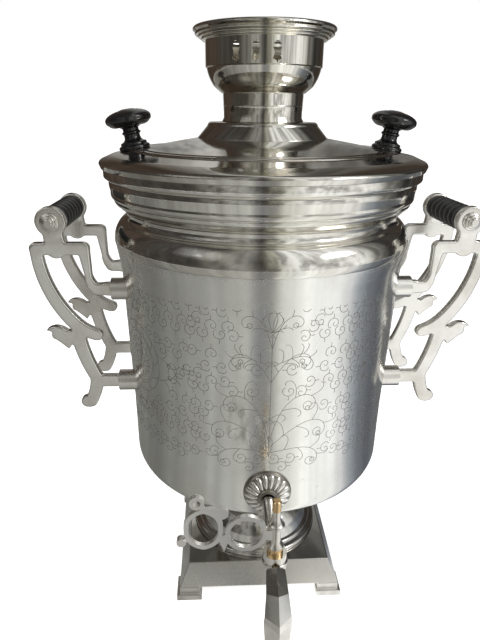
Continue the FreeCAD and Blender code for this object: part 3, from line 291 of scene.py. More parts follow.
def turned(name, outline, foot=(0, 0, 0), axis=(0, 0, 1), out=(1, 0, 0), wall=0.0,
           steps=160, edge=0.2 * MM, sharpest=28, finest=8):
    """Spin an outline in millimetres round an axis, as on a lathe.

    A wall gives an open outline, a sheet's outer side, its thickness inwards.
    """
    foot, axis, out = Vector(foot), Vector(axis).normalized(), Vector(out).normalized()
    bpy.ops.object.select_all(action="DESELECT")
    bpy.ops.mesh.primitive_plane_add(size=MM)
    piece = bpy.context.object
    piece.name = name
    bpy.ops.object.mode_set(mode="EDIT")
    bpy.ops.mesh.merge(type="CENTER")
    here = Vector()
    for number, point in enumerate(traced(outline, finest)):
        target = foot + out * (point.real * MM) + axis * (point.imag * MM)
        if number:
            bpy.ops.mesh.extrude_region_move(TRANSFORM_OT_translate={"value": target - here})
        else:
            bpy.ops.transform.translate(value=target)
        here = target
    bpy.ops.mesh.select_all(action="SELECT")
    bpy.ops.mesh.spin(steps=steps, angle=2 * math.pi, center=foot, axis=axis)
    bpy.ops.mesh.select_all(action="SELECT")
    bpy.ops.mesh.remove_doubles(threshold=0.004 * MM)
    bpy.ops.mesh.normals_make_consistent(inside=False)
    bpy.ops.object.mode_set(mode="OBJECT")
    middle = foot + axis * (min(point[1] for point in outline) * MM)
    faces = piece.data.polygons
    if sum(face.normal.dot(face.center - middle) * face.area for face in faces) < 0:
        bpy.ops.object.mode_set(mode="EDIT")
        bpy.ops.mesh.select_all(action="SELECT")
        bpy.ops.mesh.flip_normals()
        bpy.ops.object.mode_set(mode="OBJECT")
    if wall:
        finish_with(piece, "SOLIDIFY", thickness=wall * MM, offset=-1, use_even_offset=True)
    if edge:
        finish_with(piece, "BEVEL", width=edge, segments=2, limit_method="ANGLE",
                    angle_limit=math.radians(sharpest), use_clamp_overlap=True)
    alone(piece)
    bpy.ops.object.shade_smooth_by_angle(angle=math.radians(sharpest))
    return piece


SHEET = 1.2  # thickness of the spun sheet, in millimetres
pedestal_finish = nickel("bright_pedestal_nickel", (0.70, 0.69, 0.66), (0.52, 0.50, 0.46),
                         gloss=0.08, dent=0.8, rings=0.4)
bead_arc = math.tan(math.atan(0.6) / 2)
pedestal_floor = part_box("pedestal_foot")[0][2]
pedestal_foot = turned("pedestal_foot_spun", [
    (80, 0, 0.5), (77, 6, 0), (74, 6.5, 0.4), (71, 11, 0), (69, 11.5, 0.28), (44, 42, -0.3),
    (38, 58, 0), (40.5, 60, bead_arc), (42.3, 63, 0),
], (0, 0, pedestal_floor), wall=SHEET)
dress(pedestal_foot, "body", "base_nickel", pedestal_finish, "pedestal_foot")
cup_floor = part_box("pedestal_cup")[0][2]
pedestal_cup = turned("pedestal_cup_spun", [
    (42.3, 0, bead_arc), (40.5, 3, 0), (39, 5, -0.3), (59, 37, 0), (68, 53, -0.2), (70, 57, 0),
    (74, 57, 0),
], (0, 0, cup_floor), wall=SHEET)
dress(pedestal_cup, "body", "base_nickel", pedestal_finish, "pedestal_cup")


# Drum: the tall body of the water tank, spun from sheet brass with a rounded lower edge
# and a slight flare, plated, and finely scratched all round by years of wiping.

drum_finish = nickel("engraved_drum_nickel", (0.88, 0.88, 0.85), (0.78, 0.77, 0.73),
                     gloss=0.12, dent=1.4, rings=0.5, scratch=0.7, speckle=0.3)
drum_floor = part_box("drum_shell")[0][2]
quarter = math.tan(math.radians(22.5))
drum = turned("drum_spun", [
    (114.8, 0, 0), (128.8, 0, quarter), (146.8, 18, 0), (146.8, 78, 0), (147.9, 125, 0),
    (149.1, 178, 0), (150.4, 232, -0.02), (154.5, 262, 0),
], (0, 0, drum_floor), wall=SHEET, steps=224)
dress(drum, "body", "body_nickel", drum_finish, "drum_shell")

tinned = nickel("dull_tinned_brass", (0.42, 0.41, 0.39), (0.30, 0.28, 0.25),
                gloss=0.42, dent=0.3, rings=0.3)
tank_bottom = cast("tank_bottom", "tank_bottom_tinned", 0)
dress(tank_bottom, "body", "tinned_inside", tinned, "tank_bottom")


# Shoulder and collar: one spun piece with a rounded bulge, a deep waist and two beads,
# and above it the band that the lid rests on. Both are soldered to the drum.

shoulder_finish = nickel("bright_shoulder_nickel", (0.84, 0.83, 0.78), (0.70, 0.67, 0.60),
                         gloss=0.05, dent=2.4, rings=0.3, scratch=0.4, speckle=0.3)
shoulder_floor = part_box("shoulder")[0][2]
shoulder = turned("shoulder_spun", [
    (154.5, 0, 0), (155.5, 4, 0.22), (147, 24.5, -0.74), (147, 38, 0), (149.5, 41, 0.4),
    (153, 46.5, 0.4), (155.6, 53, 0), (157, 59.5, 0), (157, 64.5, 0),
], (0, 0, shoulder_floor), wall=SHEET, steps=224)
dress(shoulder, "body", "body_nickel", shoulder_finish, "shoulder")
collar_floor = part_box("collar")[0][2]
collar = turned("collar_spun", [
    (157, 0, 0), (161.5, 3.5, 0), (161.5, 11.5, 0), (152.5, 11.5, 0),
], (0, 0, collar_floor), wall=SHEET, steps=224, edge=0.5 * MM)
dress(collar, "body", "body_nickel", shoulder_finish, "collar")


# Fire tube and grate: a tapered tube that holds the charcoal, dull and sooty inside, and
# a slotted cast-iron disc at its foot.

tube_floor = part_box("fire_tube")[0][2]
fire_tube = turned("fire_tube_tapered", [
    (44, 0, 0), (50, 0, 0), (50, 28.7, 0), (37.6, 330, 0), (37.6, 418.6, 0),
], (0, 0, tube_floor), wall=SHEET, steps=96)
dress(fire_tube, "body", "tinned_inside", tinned, "fire_tube")

iron_finish, iron_shader, iron_place = new_finish("sooty_iron")
grain = noise(iron_place, 400, 4, 0.7)
soot = noise(iron_place, 40, 3, 0.6).clipped(0.4, 0.65)
pits = grain.node("ShaderNodeBump", {"Height": grain, "Strength": 0.6, "Distance": 0.2 * MM})
plug_in(iron_shader, Base_Color=soot.mixed((0.05, 0.048, 0.045, 1), (0.12, 0.10, 0.09, 1)),
        Roughness=grain * 0.3 + 0.6, Normal=pits)
grate = cast("grate", "grate_cast", 0.5 * MM)
dress(grate, "body", "iron", iron_finish, "grate")


# Lid: a shallow spun cone with a raised, rolled rim, a conical collar round the fire
# tube, and a guide ring below that keeps it in place. It lifts off by its two knobs.

lid_finish = nickel("bright_lid_nickel", (0.76, 0.75, 0.70), (0.58, 0.53, 0.46),
                    gloss=0.05, dent=1.6, rings=0.4, scratch=0.4, speckle=0.3)
lid_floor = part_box("lid")[0][2]
lid = turned("lid_spun", [
    (153.5, 0, 0), (163.4, 0, 0), (165, 4, 0.3), (162, 7.5, 0), (153, 11.4, 0), (150, 11.9, 0),
    (131.5, 15.2, 0), (131, 16.1, 0.4), (128, 16.6, 0), (127.5, 15.9, 0), (123, 16.7, 0),
    (122.6, 17.2, 0.4), (121.2, 17.4, 0), (120.8, 17, 0), (66.2, 26.7, 0), (60.2, 26.7, 0),
], (0, 0, lid_floor), wall=SHEET, steps=224, edge=0.5 * MM, sharpest=14)
dress(lid, "lid", "lid_nickel", lid_finish, "lid")
cone_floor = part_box("lid_collar")[0][2]
lid_collar = turned("lid_collar_spun", [
    (66.2, 0, 0), (56, 11.8, 0.3), (53, 15.3, 0), (39.6, 15.3, 0),
], (0, 0, cone_floor), wall=SHEET, edge=0.4 * MM)
dress(lid_collar, "lid", "lid_nickel", lid_finish, "lid_collar")
guide = cast("lid_guide", "lid_guide_ring", 0)
dress(guide, "lid", "lid_nickel", tinned, "lid_guide")


# Lid knobs: turned wood under a thick black lacquer, each screwed on from below, leaning
# with the lid's slope. Brass screws and washers hold them.

lacquer, lacquer_shader, lacquer_place = new_finish("black_lacquer")
smears = noise(lacquer_place, 90, 4, 0.6)
dust = noise(lacquer_place, 700, 2, 0.6).clipped(0.68, 0.76)
plug_in(lacquer_shader, Base_Color=dust.mixed((0.008, 0.008, 0.009, 1), (0.025, 0.025, 0.026, 1)),
        Roughness=smears * 0.10 + 0.06 + dust * 0.1)
lacquer_shader.inputs["Coat Weight"].default_value = 0.6
lacquer_shader.inputs["Coat Roughness"].default_value = 0.06

lean = math.radians(10)
knob_outline = [
    (2.7, 0, 0), (15, 0, 0.6), (14, 4, -0.3), (13.2, 5, 0.5), (12.2, 7, 0), (11, 7.5, -0.3),
    (8, 12, 0), (8, 14, 0), (8.9, 14.8, 0.6), (8.9, 16.8, 0), (8, 17.6, 0), (8, 20, 0),
    (11, 22, 0.28), (21, 25.2, 0.3),
]
cap_radius, cap_level, cap_rise = 23, 29.5, 8.3
cap_rings = 8
for ring in range(cap_rings):
    swing = math.radians(-4 + 10 * ring)
    knob_outline.append((cap_radius * math.cos(swing), cap_level + cap_rise * math.sin(swing), 0.14))
knob_outline.append((0, 38, 0))
knob_reach, knob_level = 130, 518.75  # where a knob stands on the lid, in millimetres
for knob_node, side in (("knob_left", -1), ("knob_right", 1)):
    tilt = Vector((side * math.sin(lean), 0, math.cos(lean)))
    outward = (math.cos(lean), 0, -side * math.sin(lean))
    seat = Vector((side * knob_reach, 0, knob_level)) * MM
    knob = turned(knob_node + "_turned", knob_outline, seat, tilt, outward,
                  steps=128, edge=0, finest=4)
    dress(knob, "lid", "black_wood", lacquer, knob_node)


def paint(node, finish):
    """Give a solid of the frame that is shown as it is its material."""
    frame["nodes"][node].data.materials.clear()
    frame["nodes"][node].data.materials.append(finish)


brass, brass_shader, brass_place = new_finish("worn_brass")
brass_shader.inputs["Metallic"].default_value = 1
wear = noise(brass_place, 130, 4, 0.6)
rubbed = noise(brass_place, 600, 3, 0.6)
brass_tone = wear.clipped(0.4, 0.65).mixed((0.72, 0.50, 0.24, 1), (0.50, 0.36, 0.20, 1))
rubs = rubbed.node("ShaderNodeBump", {"Height": rubbed, "Strength": 0.3, "Distance": 0.03 * MM})
plug_in(brass_shader, Base_Color=brass_tone, Roughness=rubbed * 0.2 + 0.2, Normal=rubs)
for fixing in ("knob_screws", "knob_washers", "tap_nut", "handle_saddles", "handle_studs",
               "handle_nuts"):
    paint(fixing, brass)


# Steam vent: a small seat pressed into the back of the lid, closed by a lift-off cap.

vent_seat = cast("vent_seat", "vent_seat_turned", 0)
dress(vent_seat, "lid", "lid_nickel", lid_finish, "vent_seat")
vent_cap = cast("vent_cap", "vent_cap_turned", 0)
dress(vent_cap, "vent_cap", "lid_nickel", lid_finish, "vent_cap")


# Crown: a short neck that slips over the fire tube, and a pierced bowl with a rolled rim
# in which the teapot stands. Its plate is a little warm in tone.

crown_finish = nickel("warm_crown_nickel", (0.82, 0.80, 0.73), (0.66, 0.60, 0.49),
                      gloss=0.05, dent=1.2, rings=0.4, scratch=0.4, speckle=0.3)
neck_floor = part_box("crown_neck")[0][2]
neck = turned("crown_neck_spun", [
    (41.2, 0, 0), (39.4, 3.5, 0), (39.4, 10, 0), (39.55, 14, 0.6), (39.6, 15, 0), (40, 24, 0),
    (40, 26, 0),
], (0, 0, neck_floor), wall=SHEET, steps=128)
dress(neck, "crown", "crown_nickel", crown_finish, "crown_neck")


def join_to(whole):
    """Make the piece that was just modelled a part of another."""
    whole.select_set(True)
    bpy.context.view_layer.objects.active = whole
    bpy.ops.object.join()


bowl = cast("crown_bowl", "crown_bowl_spun", 0, 30)
bowl_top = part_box("crown_bowl")[1][2]
for reach, drop in ((59.6, 10.2), (62.6, 8.1), (65.6, 6.0)):
    bpy.ops.object.select_all(action="DESELECT")
    bpy.ops.mesh.primitive_torus_add(
        major_segments=144, minor_segments=12, major_radius=reach * MM, minor_radius=1.3 * MM,
        location=(0, 0, bowl_top - drop * MM))
    bpy.ops.object.transform_apply(location=True)
    bpy.ops.object.shade_smooth()
    join_to(bowl)
dress(bowl, "crown", "crown_nickel", crown_finish, "crown_bowl")


# Handles: four flat cast brackets with scrolled limbs, each bolted through the drum's
# wall at two pads. Ribbed black grips on steel rods join them, closed by stepped nuts.

casting = nickel("cast_handle_nickel", (0.88, 0.87, 0.83), (0.66, 0.62, 0.56),
                 gloss=0.20, dent=0.5, rings=0.0, scratch=0.1, speckle=0.1)
for bracket_node in ("bracket_left_front", "bracket_left_rear", "bracket_right_front",
                     "bracket_right_rear"):
    bracket = cast(bracket_node, bracket_node + "_cast", 0)
    finish_with(bracket, "REMESH", mode="VOXEL", voxel_size=0.9 * MM)
    finish_with(bracket, "SMOOTH", factor=0.5, iterations=9)
    bpy.ops.object.shade_smooth()
    dress(bracket, "body", "cast_nickel", casting, bracket_node)
for pad_node in ("upper_handle_pads", "lower_handle_pads"):
    pads = cast(pad_node, pad_node + "_turned", 1.2 * MM)
    dress(pads, "body", "cast_nickel", casting, pad_node)
nuts = cast("cap_nuts", "cap_nuts_turned", 0.2 * MM)
dress(nuts, "body", "cast_nickel", casting, "cap_nuts")

satin, satin_shader, satin_place = new_finish("satin_black_grip")
grease = noise(satin_place, 160, 4, 0.6)
grip_tone = grease.clipped(0.5, 0.75).mixed((0.014, 0.014, 0.015, 1), (0.035, 0.034, 0.033, 1))
plug_in(satin_shader, Base_Color=grip_tone, Roughness=grease * 0.2 + 0.26)
grip_low, grip_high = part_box("grip_right")
grip_length = (grip_high[1] - grip_low[1]) / MM
ribs = 7
grip_outline = [(3.2, 0, 0)]
for rib in range(ribs):
    start = grip_length * rib / ribs
    end = start + grip_length / ribs
    grip_outline += [(11.2, start, 0), (12.6, start + 1.2, 0.2), (12.6, end - 1.2, 0)]
grip_outline += [(11.2, grip_length, 0), (3.2, grip_length, 0)]
for grip_node in ("grip_left", "grip_right"):
    low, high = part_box(grip_node)
    grip_centre = ((low[0] + high[0]) / 2, low[1], (low[2] + high[2]) / 2)
    grip = turned(grip_node + "_ribbed", grip_outline, grip_centre, (0, 1, 0), steps=72, edge=0)
    dress(grip, "body", "black_grip", satin, grip_node)
for rod_node in ("grip_rod_left", "grip_rod_right"):
    paint(rod_node, tinned)


# Tap: a cast cock with a fluted rosette where its pipe enters the drum, a barrel with
# raised rings, and a faceted beak. It is plated, and darker in the rosette's grooves.

tap_finish = nickel("bright_tap_nickel", (0.86, 0.85, 0.81), (0.66, 0.63, 0.58),
                    gloss=0.11, dent=0.5, rings=0.0, scratch=0.3, speckle=0.2)
tap_body = cast("tap_body", "tap_body_cast", 0.3 * MM)
dress(tap_body, "body", "tap_nickel", tap_finish, "tap_body")
beak = cast("spout_beak", "spout_beak_cast", 0.8 * MM, 12)
# The solid's bore breaks through both upper faces as a short slit. A thin plate closes each.
beak_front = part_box("spout_beak")[0][1]
plate_size = (3.2, 7, 0.3)
plate_reach, plate_back, plate_level = 2.5 * MM, 24.75 * MM, 186.4 * MM
for side in (-1, 1):
    bpy.ops.object.select_all(action="DESELECT")
    bpy.ops.mesh.primitive_cube_add(size=MM)
    plate = bpy.context.object
    plate.scale = plate_size
    face_normal = Vector((side * 0.6818, -0.3363, 0.6496))
    plate.rotation_euler = face_normal.to_track_quat("Z", "Y").to_euler()
    plate.location = (side * plate_reach, beak_front + plate_back, plate_level)
    bpy.ops.object.transform_apply(location=True, rotation=True, scale=True)
    join_to(beak)
dress(beak, "body", "tap_nickel", tap_finish, "spout_beak")

# The rosette is a dark dome. Convex lobes, narrow towards the pipe, lie on it side by side.
groove_finish = nickel("dark_rosette_grooves", (0.30, 0.28, 0.25), (0.18, 0.16, 0.14),
                       gloss=0.32, dent=0.2)
rosette_low, rosette_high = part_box("rosette")
rosette_hub = Vector((0, 0, (rosette_low[2] + rosette_high[2]) / 2))
rosette = turned("rosette_fluted", [
    (24, 142, 0), (24, 148, 0.32), (21.5, 150.5, 0.1), (10.5, 156, 0), (10.5, 157.4, 0.5),
    (8.5, 158.4, 0), (6.6, 158.4, 0),
], rosette_hub, (0, -1, 0), steps=96, edge=0)
rosette.data.materials.append(groove_finish)
rosette.data.materials.append(tap_finish)
lobes = 18
half_thick, half_wide, half_long = 2.2, 2.85, 7.6
slope_out, slope_back = 13, 7.4
lobe_reach, lobe_front, taper = 16.6 * MM, 152.6 * MM, 18 * MM
for lobe in range(lobes):
    angle = 2 * math.pi * lobe / lobes
    spread = Vector((math.cos(angle), 0, math.sin(angle)))
    bpy.ops.object.select_all(action="DESELECT")
    bpy.ops.mesh.primitive_uv_sphere_add(segments=20, ring_count=24, radius=MM)
    petal = bpy.context.object
    petal.scale = (half_thick, half_wide, half_long)
    bpy.ops.object.transform_apply(scale=True)
    for corner in petal.data.vertices:
        corner.co.y *= 1 + corner.co.z / taper
    along = (spread * slope_out + Vector((0, slope_back, 0))).normalized()
    across = along.cross(spread).normalized()
    petal.rotation_euler = Matrix((across.cross(along), across, along)).transposed().to_euler()
    petal.location = rosette_hub + spread * lobe_reach + Vector((0, -lobe_front, 0))
    bpy.ops.object.transform_apply(location=True, rotation=True)
    petal.data.materials.append(tap_finish)
    bpy.ops.object.shade_smooth()
    join_to(rosette)
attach(rosette, "body")
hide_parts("rosette")

seal_finish, seal_shader, seal_place = new_finish("packing_washer")
fibre = noise(seal_place, 500, 3, 0.6)
plug_in(seal_shader, Base_Color=fibre.mixed((0.10, 0.05, 0.035, 1), (0.16, 0.09, 0.06, 1)),
        Roughness=fibre * 0.2 + 0.6)
paint("tap_seal", seal_finish)


# Key: a tapered plug with its stem, which turns in the barrel, and a flat cast handle of
# two scrolled loops, whose tang is let into it. The stem is plated, but for two bare
# brass bands, one just above the barrel and one at its tip.

plug_finish, plug_shader, plug_place = new_finish("stem_brass_and_nickel")
plug_shader.inputs["Metallic"].default_value = 1
plug_level = plug_place.node("ShaderNodeSeparateXYZ", {"Vector": plug_place}, output="Z")
haze = noise(plug_place, 200, 4, 0.6)
above_band = plug_level.clipped(0.2055, 0.2065)
bare_tip = plug_level.clipped(0.2435, 0.2445)
plated = above_band * (1 - bare_tip)
worn_tone = haze.mixed((0.76, 0.53, 0.26, 1), (0.58, 0.42, 0.24, 1))
plug_tone = plated.mixed(worn_tone, (0.70, 0.67, 0.62, 1))
plug_in(plug_shader, Base_Color=plug_tone, Roughness=haze * 0.2 + 0.12)
plug = cast("key_plug", "key_plug_turned", 0.2 * MM)
dress(plug, "key", "brass", plug_finish, "key_plug")
key_finish = nickel("pale_key_casting", (0.95, 0.94, 0.91), (0.82, 0.80, 0.76),
                    gloss=0.32, dent=0.3, rings=0.0, scratch=0.2, speckle=0.2)
key = cast("key_handle", "key_handle_cast", 0.9 * MM)
dress(key, "key", "key_nickel", key_finish, "key_handle")


# Engraving: scrolls, leaves and rosettes cut with a graver all round the drum, as thin
# dull lines in the bright plate. Bouquets and medallions take turns.

def drum_reach(level):
    """The drum's outer radius at a level above its foot, both in millimetres.

    It is straight up to 78, and then flares by 3.6 in 154.
    """
    return 146.8 + max(0, level - 78) * 3.6 / 154


def scroll(at, heading, length, hand, tight=3.2, loose=0.004, step=1.5):
    """A stroke that winds into a spiral: it bends more and more, to one hand."""
    across, up = at
    stroke = [(across, up, heading)]
    steps = int(length / step)
    for number in range(steps):
        share = number / steps
        heading += hand * step * (loose + share ** 2.6 / tight)
        across += step * math.cos(heading)
        up += step * math.sin(heading)
        stroke.append((across, up, heading))
    return stroke


def spray(at, heading, length, hand):
    """A main scroll with small curls that leave it on both sides, and a rosette at its end."""
    stem = scroll(at, heading, length, hand)
    strokes = [stem]
    for share, turn, part in ((0.18, -0.9, 0.26), (0.32, 0.8, 0.22), (0.46, -0.9, 0.24),
                              (0.6, -0.8, 0.18)):
        across, up, way = stem[int(share * len(stem))]
        side = -hand if turn < 0 else hand
        strokes.append(scroll((across, up), way + turn * hand, length * part, side, 2.4, 0.02, 1.2))
    across, up, _ = stem[-1]
    strokes.append(rosette_ring((across, up), 2.6, 6))
    return strokes


def rosette_ring(centre, radius, petals):
    """A closed flower outline with so many petals."""
    ring = []
    for number in range(petals * 8 + 1):
        angle = 2 * math.pi * number / (petals * 8)
        reach = radius * (0.72 + 0.28 * abs(math.sin(petals * angle / 2)))
        ring.append((centre[0] + reach * math.cos(angle), centre[1] + reach * math.sin(angle), angle))
    return ring


def bouquet():
    """Scrolls that rise from one foot to both sides of a straight stem with a palmette."""
    strokes = []
    for hand in (-1, 1):
        for lift, length, height in ((0.20, 120, -60), (0.75, 110, -66), (1.35, 90, -72),
                                     (0.5, 70, 6), (1.1, 60, 22), (0.25, 60, 40)):
            strokes += spray((0, height), math.pi / 2 - hand * lift, length, -hand)
        strokes += [scroll((0, -76), math.pi / 2 - hand * 0.3, 26, hand, 5)]
    strokes.append([(0, -78 + 2 * number, 0) for number in range(66)])
    for petal in range(-3, 4):
        angle = math.pi / 2 + petal * 0.42
        length = 22 - abs(petal) * 2.5
        strokes.append(scroll((0, 56), angle, length, 1 if petal < 0 else -1, 6, 0.01, 1.2))
    return strokes


def medallion():
    """A double ring round a large rosette, with scrolls outside it."""
    flowers = ((6, 8), (13, 12), (22, 16))
    strokes = [rosette_ring((0, 0), radius, petals) for radius, petals in flowers]
    for radius in (27, 29.5, 38):
        angles = [number / 30 * math.pi for number in range(61)]
        strokes.append([(radius * math.cos(angle), radius * math.sin(angle), 0) for angle in angles])
    for number in range(12):
        angle = number * math.pi / 6
        start = (30 * math.cos(angle), 30 * math.sin(angle))
        strokes.append(scroll(start, angle + 0.6, 16, 1, 2.2, 0.02, 1.2))
    for number in range(8):
        angle = (number + 0.5) * math.pi / 4
        start = (38 * math.cos(angle), 38 * math.sin(angle))
        hand = 1 if number % 2 else -1
        strokes += spray(start, angle + 0.7 * hand, 52, hand)
    return strokes


CELL = 4  # side of the squares in which the filling looks for room, in millimetres


def cells(stroke):
    """The squares that a stroke passes through."""
    return {(round(point[0] / CELL), round(point[1] / CELL)) for point in stroke}


def filling(strokes, half_width, half_height):
    """Small curls with two leaves each, wherever the larger strokes leave room."""
    taken = set().union(*(cells(stroke) for stroke in strokes))
    curls = []
    across_pitch, up_pitch = 8, 7
    rows = int(half_height / up_pitch)
    columns = int(half_width / across_pitch)
    for row in range(-rows, rows + 1):
        for column in range(-columns, columns + 1):
            at = (column * across_pitch + (row % 2) * across_pitch / 2, row * up_pitch)
            cell = (round(at[0] / CELL), round(at[1] / CELL))
            around = {(cell[0] + x, cell[1] + y) for x in (-1, 0, 1) for y in (-1, 0, 1)}
            if around & taken:
                continue
            hand = 1 if column % 2 else -1
            heading = math.pi / 2 * row + hand * 0.7
            curl = scroll(at, heading, 24, hand, 2.0, 0.16, 0.9)
            curls.append(curl)
            for share, turn, length in ((0.0, 3.0, 9), (0.2, -0.9, 5)):
                across, up, way = curl[int(share * len(curl))]
                leaf = scroll((across, up), way + turn * hand, length, -hand, 1.8, 0.12, 0.8)
                curls.append(leaf)
            taken |= cells(curl)
    return curls


line_finish, line_shader, line_place = new_finish("graver_line")
line_shader.inputs["Metallic"].default_value = 1
bite = noise(line_place, 300, 2, 0.6)
plug_in(line_shader, Base_Color=bite.mixed((0.40, 0.385, 0.36, 1), (0.26, 0.25, 0.23, 1)),
        Roughness=bite * 0.2 + 0.45)
MIDDLE = 156  # the band's middle above the drum's foot, in millimetres
LINE = 0.24  # half the width of a line, in millimetres
PANEL_HALF, BAND_HALF = 78.5, 84  # half the width and the height that the filling covers
panels = 6
for panel in range(panels):
    strokes = medallion() if panel % 2 else bouquet()
    strokes += filling(strokes, PANEL_HALF, BAND_HALF)
    turn = math.radians(-90 + 360 / panels * panel)
    engraved = bpy.data.curves.new("engraving_lines", "CURVE")
    engraved.dimensions = "3D"
    engraved.bevel_depth = LINE * MM
    engraved.bevel_resolution = 0
    for stroke in strokes:
        line = engraved.splines.new("POLY")
        line.points.add(len(stroke) - 1)
        for point, (across, up, _) in zip(line.points, stroke):
            rise = MIDDLE + up
            reach = drum_reach(rise) * MM
            angle = turn + across * MM / reach
            level = drum_floor + rise * MM
            point.co = (reach * math.cos(angle), reach * math.sin(angle), level, 1)
    engraving = bpy.data.objects.new(f"engraving_{panel + 1}", engraved)
    bpy.context.collection.objects.link(engraving)
    alone(engraving)
    bpy.ops.object.convert(target="MESH")
    for corner in engraving.data.vertices:
        flat = Vector((corner.co.x, corner.co.y))
        reach = drum_reach((corner.co.z - drum_floor) / MM) * MM
        pressed = reach + 0.04 * MM + (flat.length - reach) * 0.15
        corner.co.xy = flat * (pressed / flat.length)
    dress(engraving, "body", "body_nickel", line_finish)


# Studio: a wide white floor and world, and soft lamps. A domed card and a round mat that
# only the reflections see stand for the room: bright to the right of the camera, else dim.
# The world and the floor look white, but light the object with less than half of that.

world = bpy.data.worlds.new("studio")
bpy.context.scene.world = world
world.use_nodes = True
sky = world.node_tree
backdrop = sky.nodes["Background"]


def shown(tree):
    """1 for camera, glossy and transmission rays, and 0 for the rays that carry diffuse light."""
    rays = tree.nodes.new("ShaderNodeLightPath").outputs
    seen = Wire(tree, rays["Is Camera Ray"]).maths("MAXIMUM", Wire(tree, rays["Is Glossy Ray"]))
    return seen.maths("MAXIMUM", Wire(tree, rays["Is Transmission Ray"]))


lit, seen = 0.45, 0.55
strength = shown(sky) * seen + lit
sky.links.new(strength.socket, backdrop.inputs["Strength"])
backdrop.inputs["Color"].default_value = (1, 1, 1, 1)

bpy.ops.object.select_all(action="DESELECT")
bpy.ops.mesh.primitive_plane_add(size=400)  # metres, so that its edge lies too far off to show
floor = bpy.context.object
floor.name = "floor"
floor_finish, floor_shader, floor_place = new_finish("white_floor")
tint = noise(floor_place, 3, 2, 0.5)
glow = shown(floor_finish.node_tree)
floor_glow = (0.75, 0.75, 0.75, 1)
plug_in(floor_shader, Base_Color=tint.mixed((0.80, 0.80, 0.79, 1), (0.84, 0.84, 0.83, 1)),
        Emission_Color=glow.mixed((0, 0, 0, 1), floor_glow))
floor_shader.inputs["Emission Strength"].default_value = 1
floor_shader.inputs["Roughness"].default_value = 0.8
floor.data.materials.append(floor_finish)


def room_card(board, name, stops, ripple):
    """Make a board a card that only reflections see, with tones by its bearing round the object.

    A share of 0 or 1 is the left, 0.25 the front, 0.5 the right and 0.75 the back. The
    ripple is the depth of the uneven upright stripes that break the tones up.
    """
    board.name = name
    finish, shader, place = new_finish(name + "_tones")
    parts = place.node("ShaderNodeSeparateXYZ", {"Vector": place})
    bearing = Wire(parts.tree, parts.socket.node.outputs["Y"]).maths("ARCTAN2", parts)
    level = Wire(parts.tree, parts.socket.node.outputs["Z"])
    share = bearing / (2 * math.pi) + 0.5
    tones = share.node("ShaderNodeValToRGB", {"Fac": share}, stops=stops)
    upright = share.node("ShaderNodeCombineXYZ", {"X": share * 40, "Y": level * 0.6, "Z": 0.0})
    stripes = noise(upright, 1, 4, 0.7)
    dim = stripes.clipped(0.40, 0.56) * ripple + (1 - ripple)
    tones = dim.mixed((0.02, 0.017, 0.015, 1), tones)
    shader.inputs["Base Color"].default_value = (0, 0, 0, 1)
    shader.inputs["Roughness"].default_value = 1
    shader.inputs["Specular IOR Level"].default_value = 0
    shader.inputs["Emission Strength"].default_value = 1
    plug_in(shader, Emission_Color=tones)
    board.data.materials.append(finish)
    board.visible_camera = False
    board.visible_diffuse = False
    board.visible_shadow = False


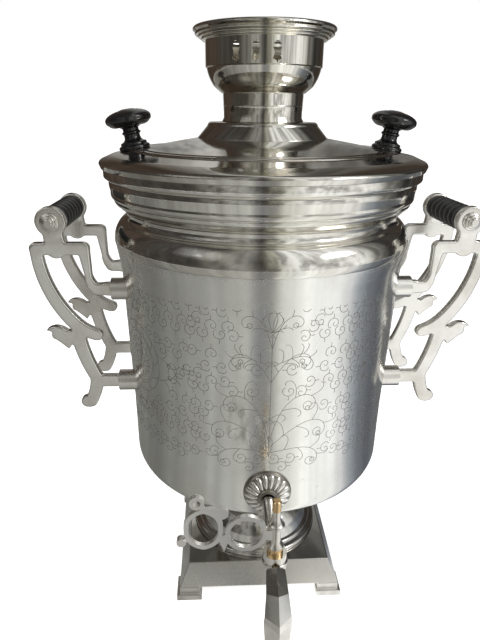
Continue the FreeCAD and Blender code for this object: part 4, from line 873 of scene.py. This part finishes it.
bpy.ops.object.select_all(action="DESELECT")
bpy.ops.mesh.primitive_uv_sphere_add(segments=64, ring_count=32, radius=2.2)
room_card(bpy.context.object, "room_dome", [
    (0.0, (0.08, 0.075, 0.07)), (0.10, (0.06, 0.057, 0.052)), (0.15, (0.22, 0.21, 0.19)),
    (0.19, (0.42, 0.42, 0.40)), (0.22, (0.26, 0.26, 0.25)), (0.24, (0.07, 0.065, 0.06)),
    (0.27, (0.45, 0.44, 0.37)), (0.31, (1.0, 1.0, 0.98)), (0.44, (1.1, 1.1, 1.1)),
    (0.49, (0.35, 0.35, 0.33)), (0.54, (0.05, 0.05, 0.05)), (0.66, (0.06, 0.045, 0.035)),
    (0.72, (0.45, 0.45, 0.43)), (0.77, (0.62, 0.62, 0.60)), (0.81, (0.07, 0.05, 0.035)),
    (0.93, (0.08, 0.06, 0.05)), (1.0, (0.08, 0.075, 0.07)),
], 0.65)
bpy.ops.object.select_all(action="DESELECT")
bpy.ops.mesh.primitive_circle_add(
    vertices=96, radius=2.15, fill_type="NGON", location=(0, 0, 0.6 * MM))
room_card(bpy.context.object, "room_mat", [
    (0.0, (0.20, 0.20, 0.19)), (0.10, (0.34, 0.34, 0.32)), (0.17, (0.50, 0.50, 0.48)),
    (0.215, (0.55, 0.55, 0.52)), (0.235, (0.24, 0.24, 0.25)), (0.255, (0.30, 0.30, 0.29)),
    (0.285, (0.75, 0.75, 0.70)), (0.33, (1.15, 1.15, 1.12)), (0.41, (1.2, 1.2, 1.2)),
    (0.46, (0.30, 0.33, 0.37)), (0.52, (0.12, 0.13, 0.15)), (0.75, (0.30, 0.30, 0.28)),
    (1.0, (0.20, 0.20, 0.19)),
], 0.35)


def lamp(name, place, aim, size, power):
    """A soft square lamp that points at a place. Lengths are in metres."""
    light = bpy.data.lights.new(name, "AREA")
    light.size = size
    light.energy = power
    holder = bpy.data.objects.new(name, light)
    bpy.context.collection.objects.link(holder)
    holder.location = place
    holder.rotation_euler = (Vector(aim) - Vector(place)).to_track_quat("-Z", "Y").to_euler()


lamp("lamp_left", (-1.4, -1.0, 1.6), (0, 0, 0.3), 0.9, 14)
lamp("lamp_right", (1.3, -0.9, 1.5), (0, 0, 0.3), 0.7, 11)
lamp("lamp_top", (0, 0.2, 2.2), (0, 0, 0.3), 1.2, 12)


# Camera: close and a little above, looking down on the lid, as in the photograph.

view = bpy.data.cameras.new("camera")
view.lens = 29.25
view.sensor_width = 36
camera = bpy.data.objects.new("camera", view)
bpy.context.collection.objects.link(camera)
camera.location = (-0.0492, -0.5629, 0.557)
aim = Euler((math.radians(67.93), 0, math.radians(-2.83))).to_matrix()
camera.rotation_euler = (aim @ Matrix.Rotation(math.radians(0.45), 3, "Z")).to_euler()
bpy.context.scene.camera = camera
bpy.context.scene.view_settings.view_transform = "Standard"
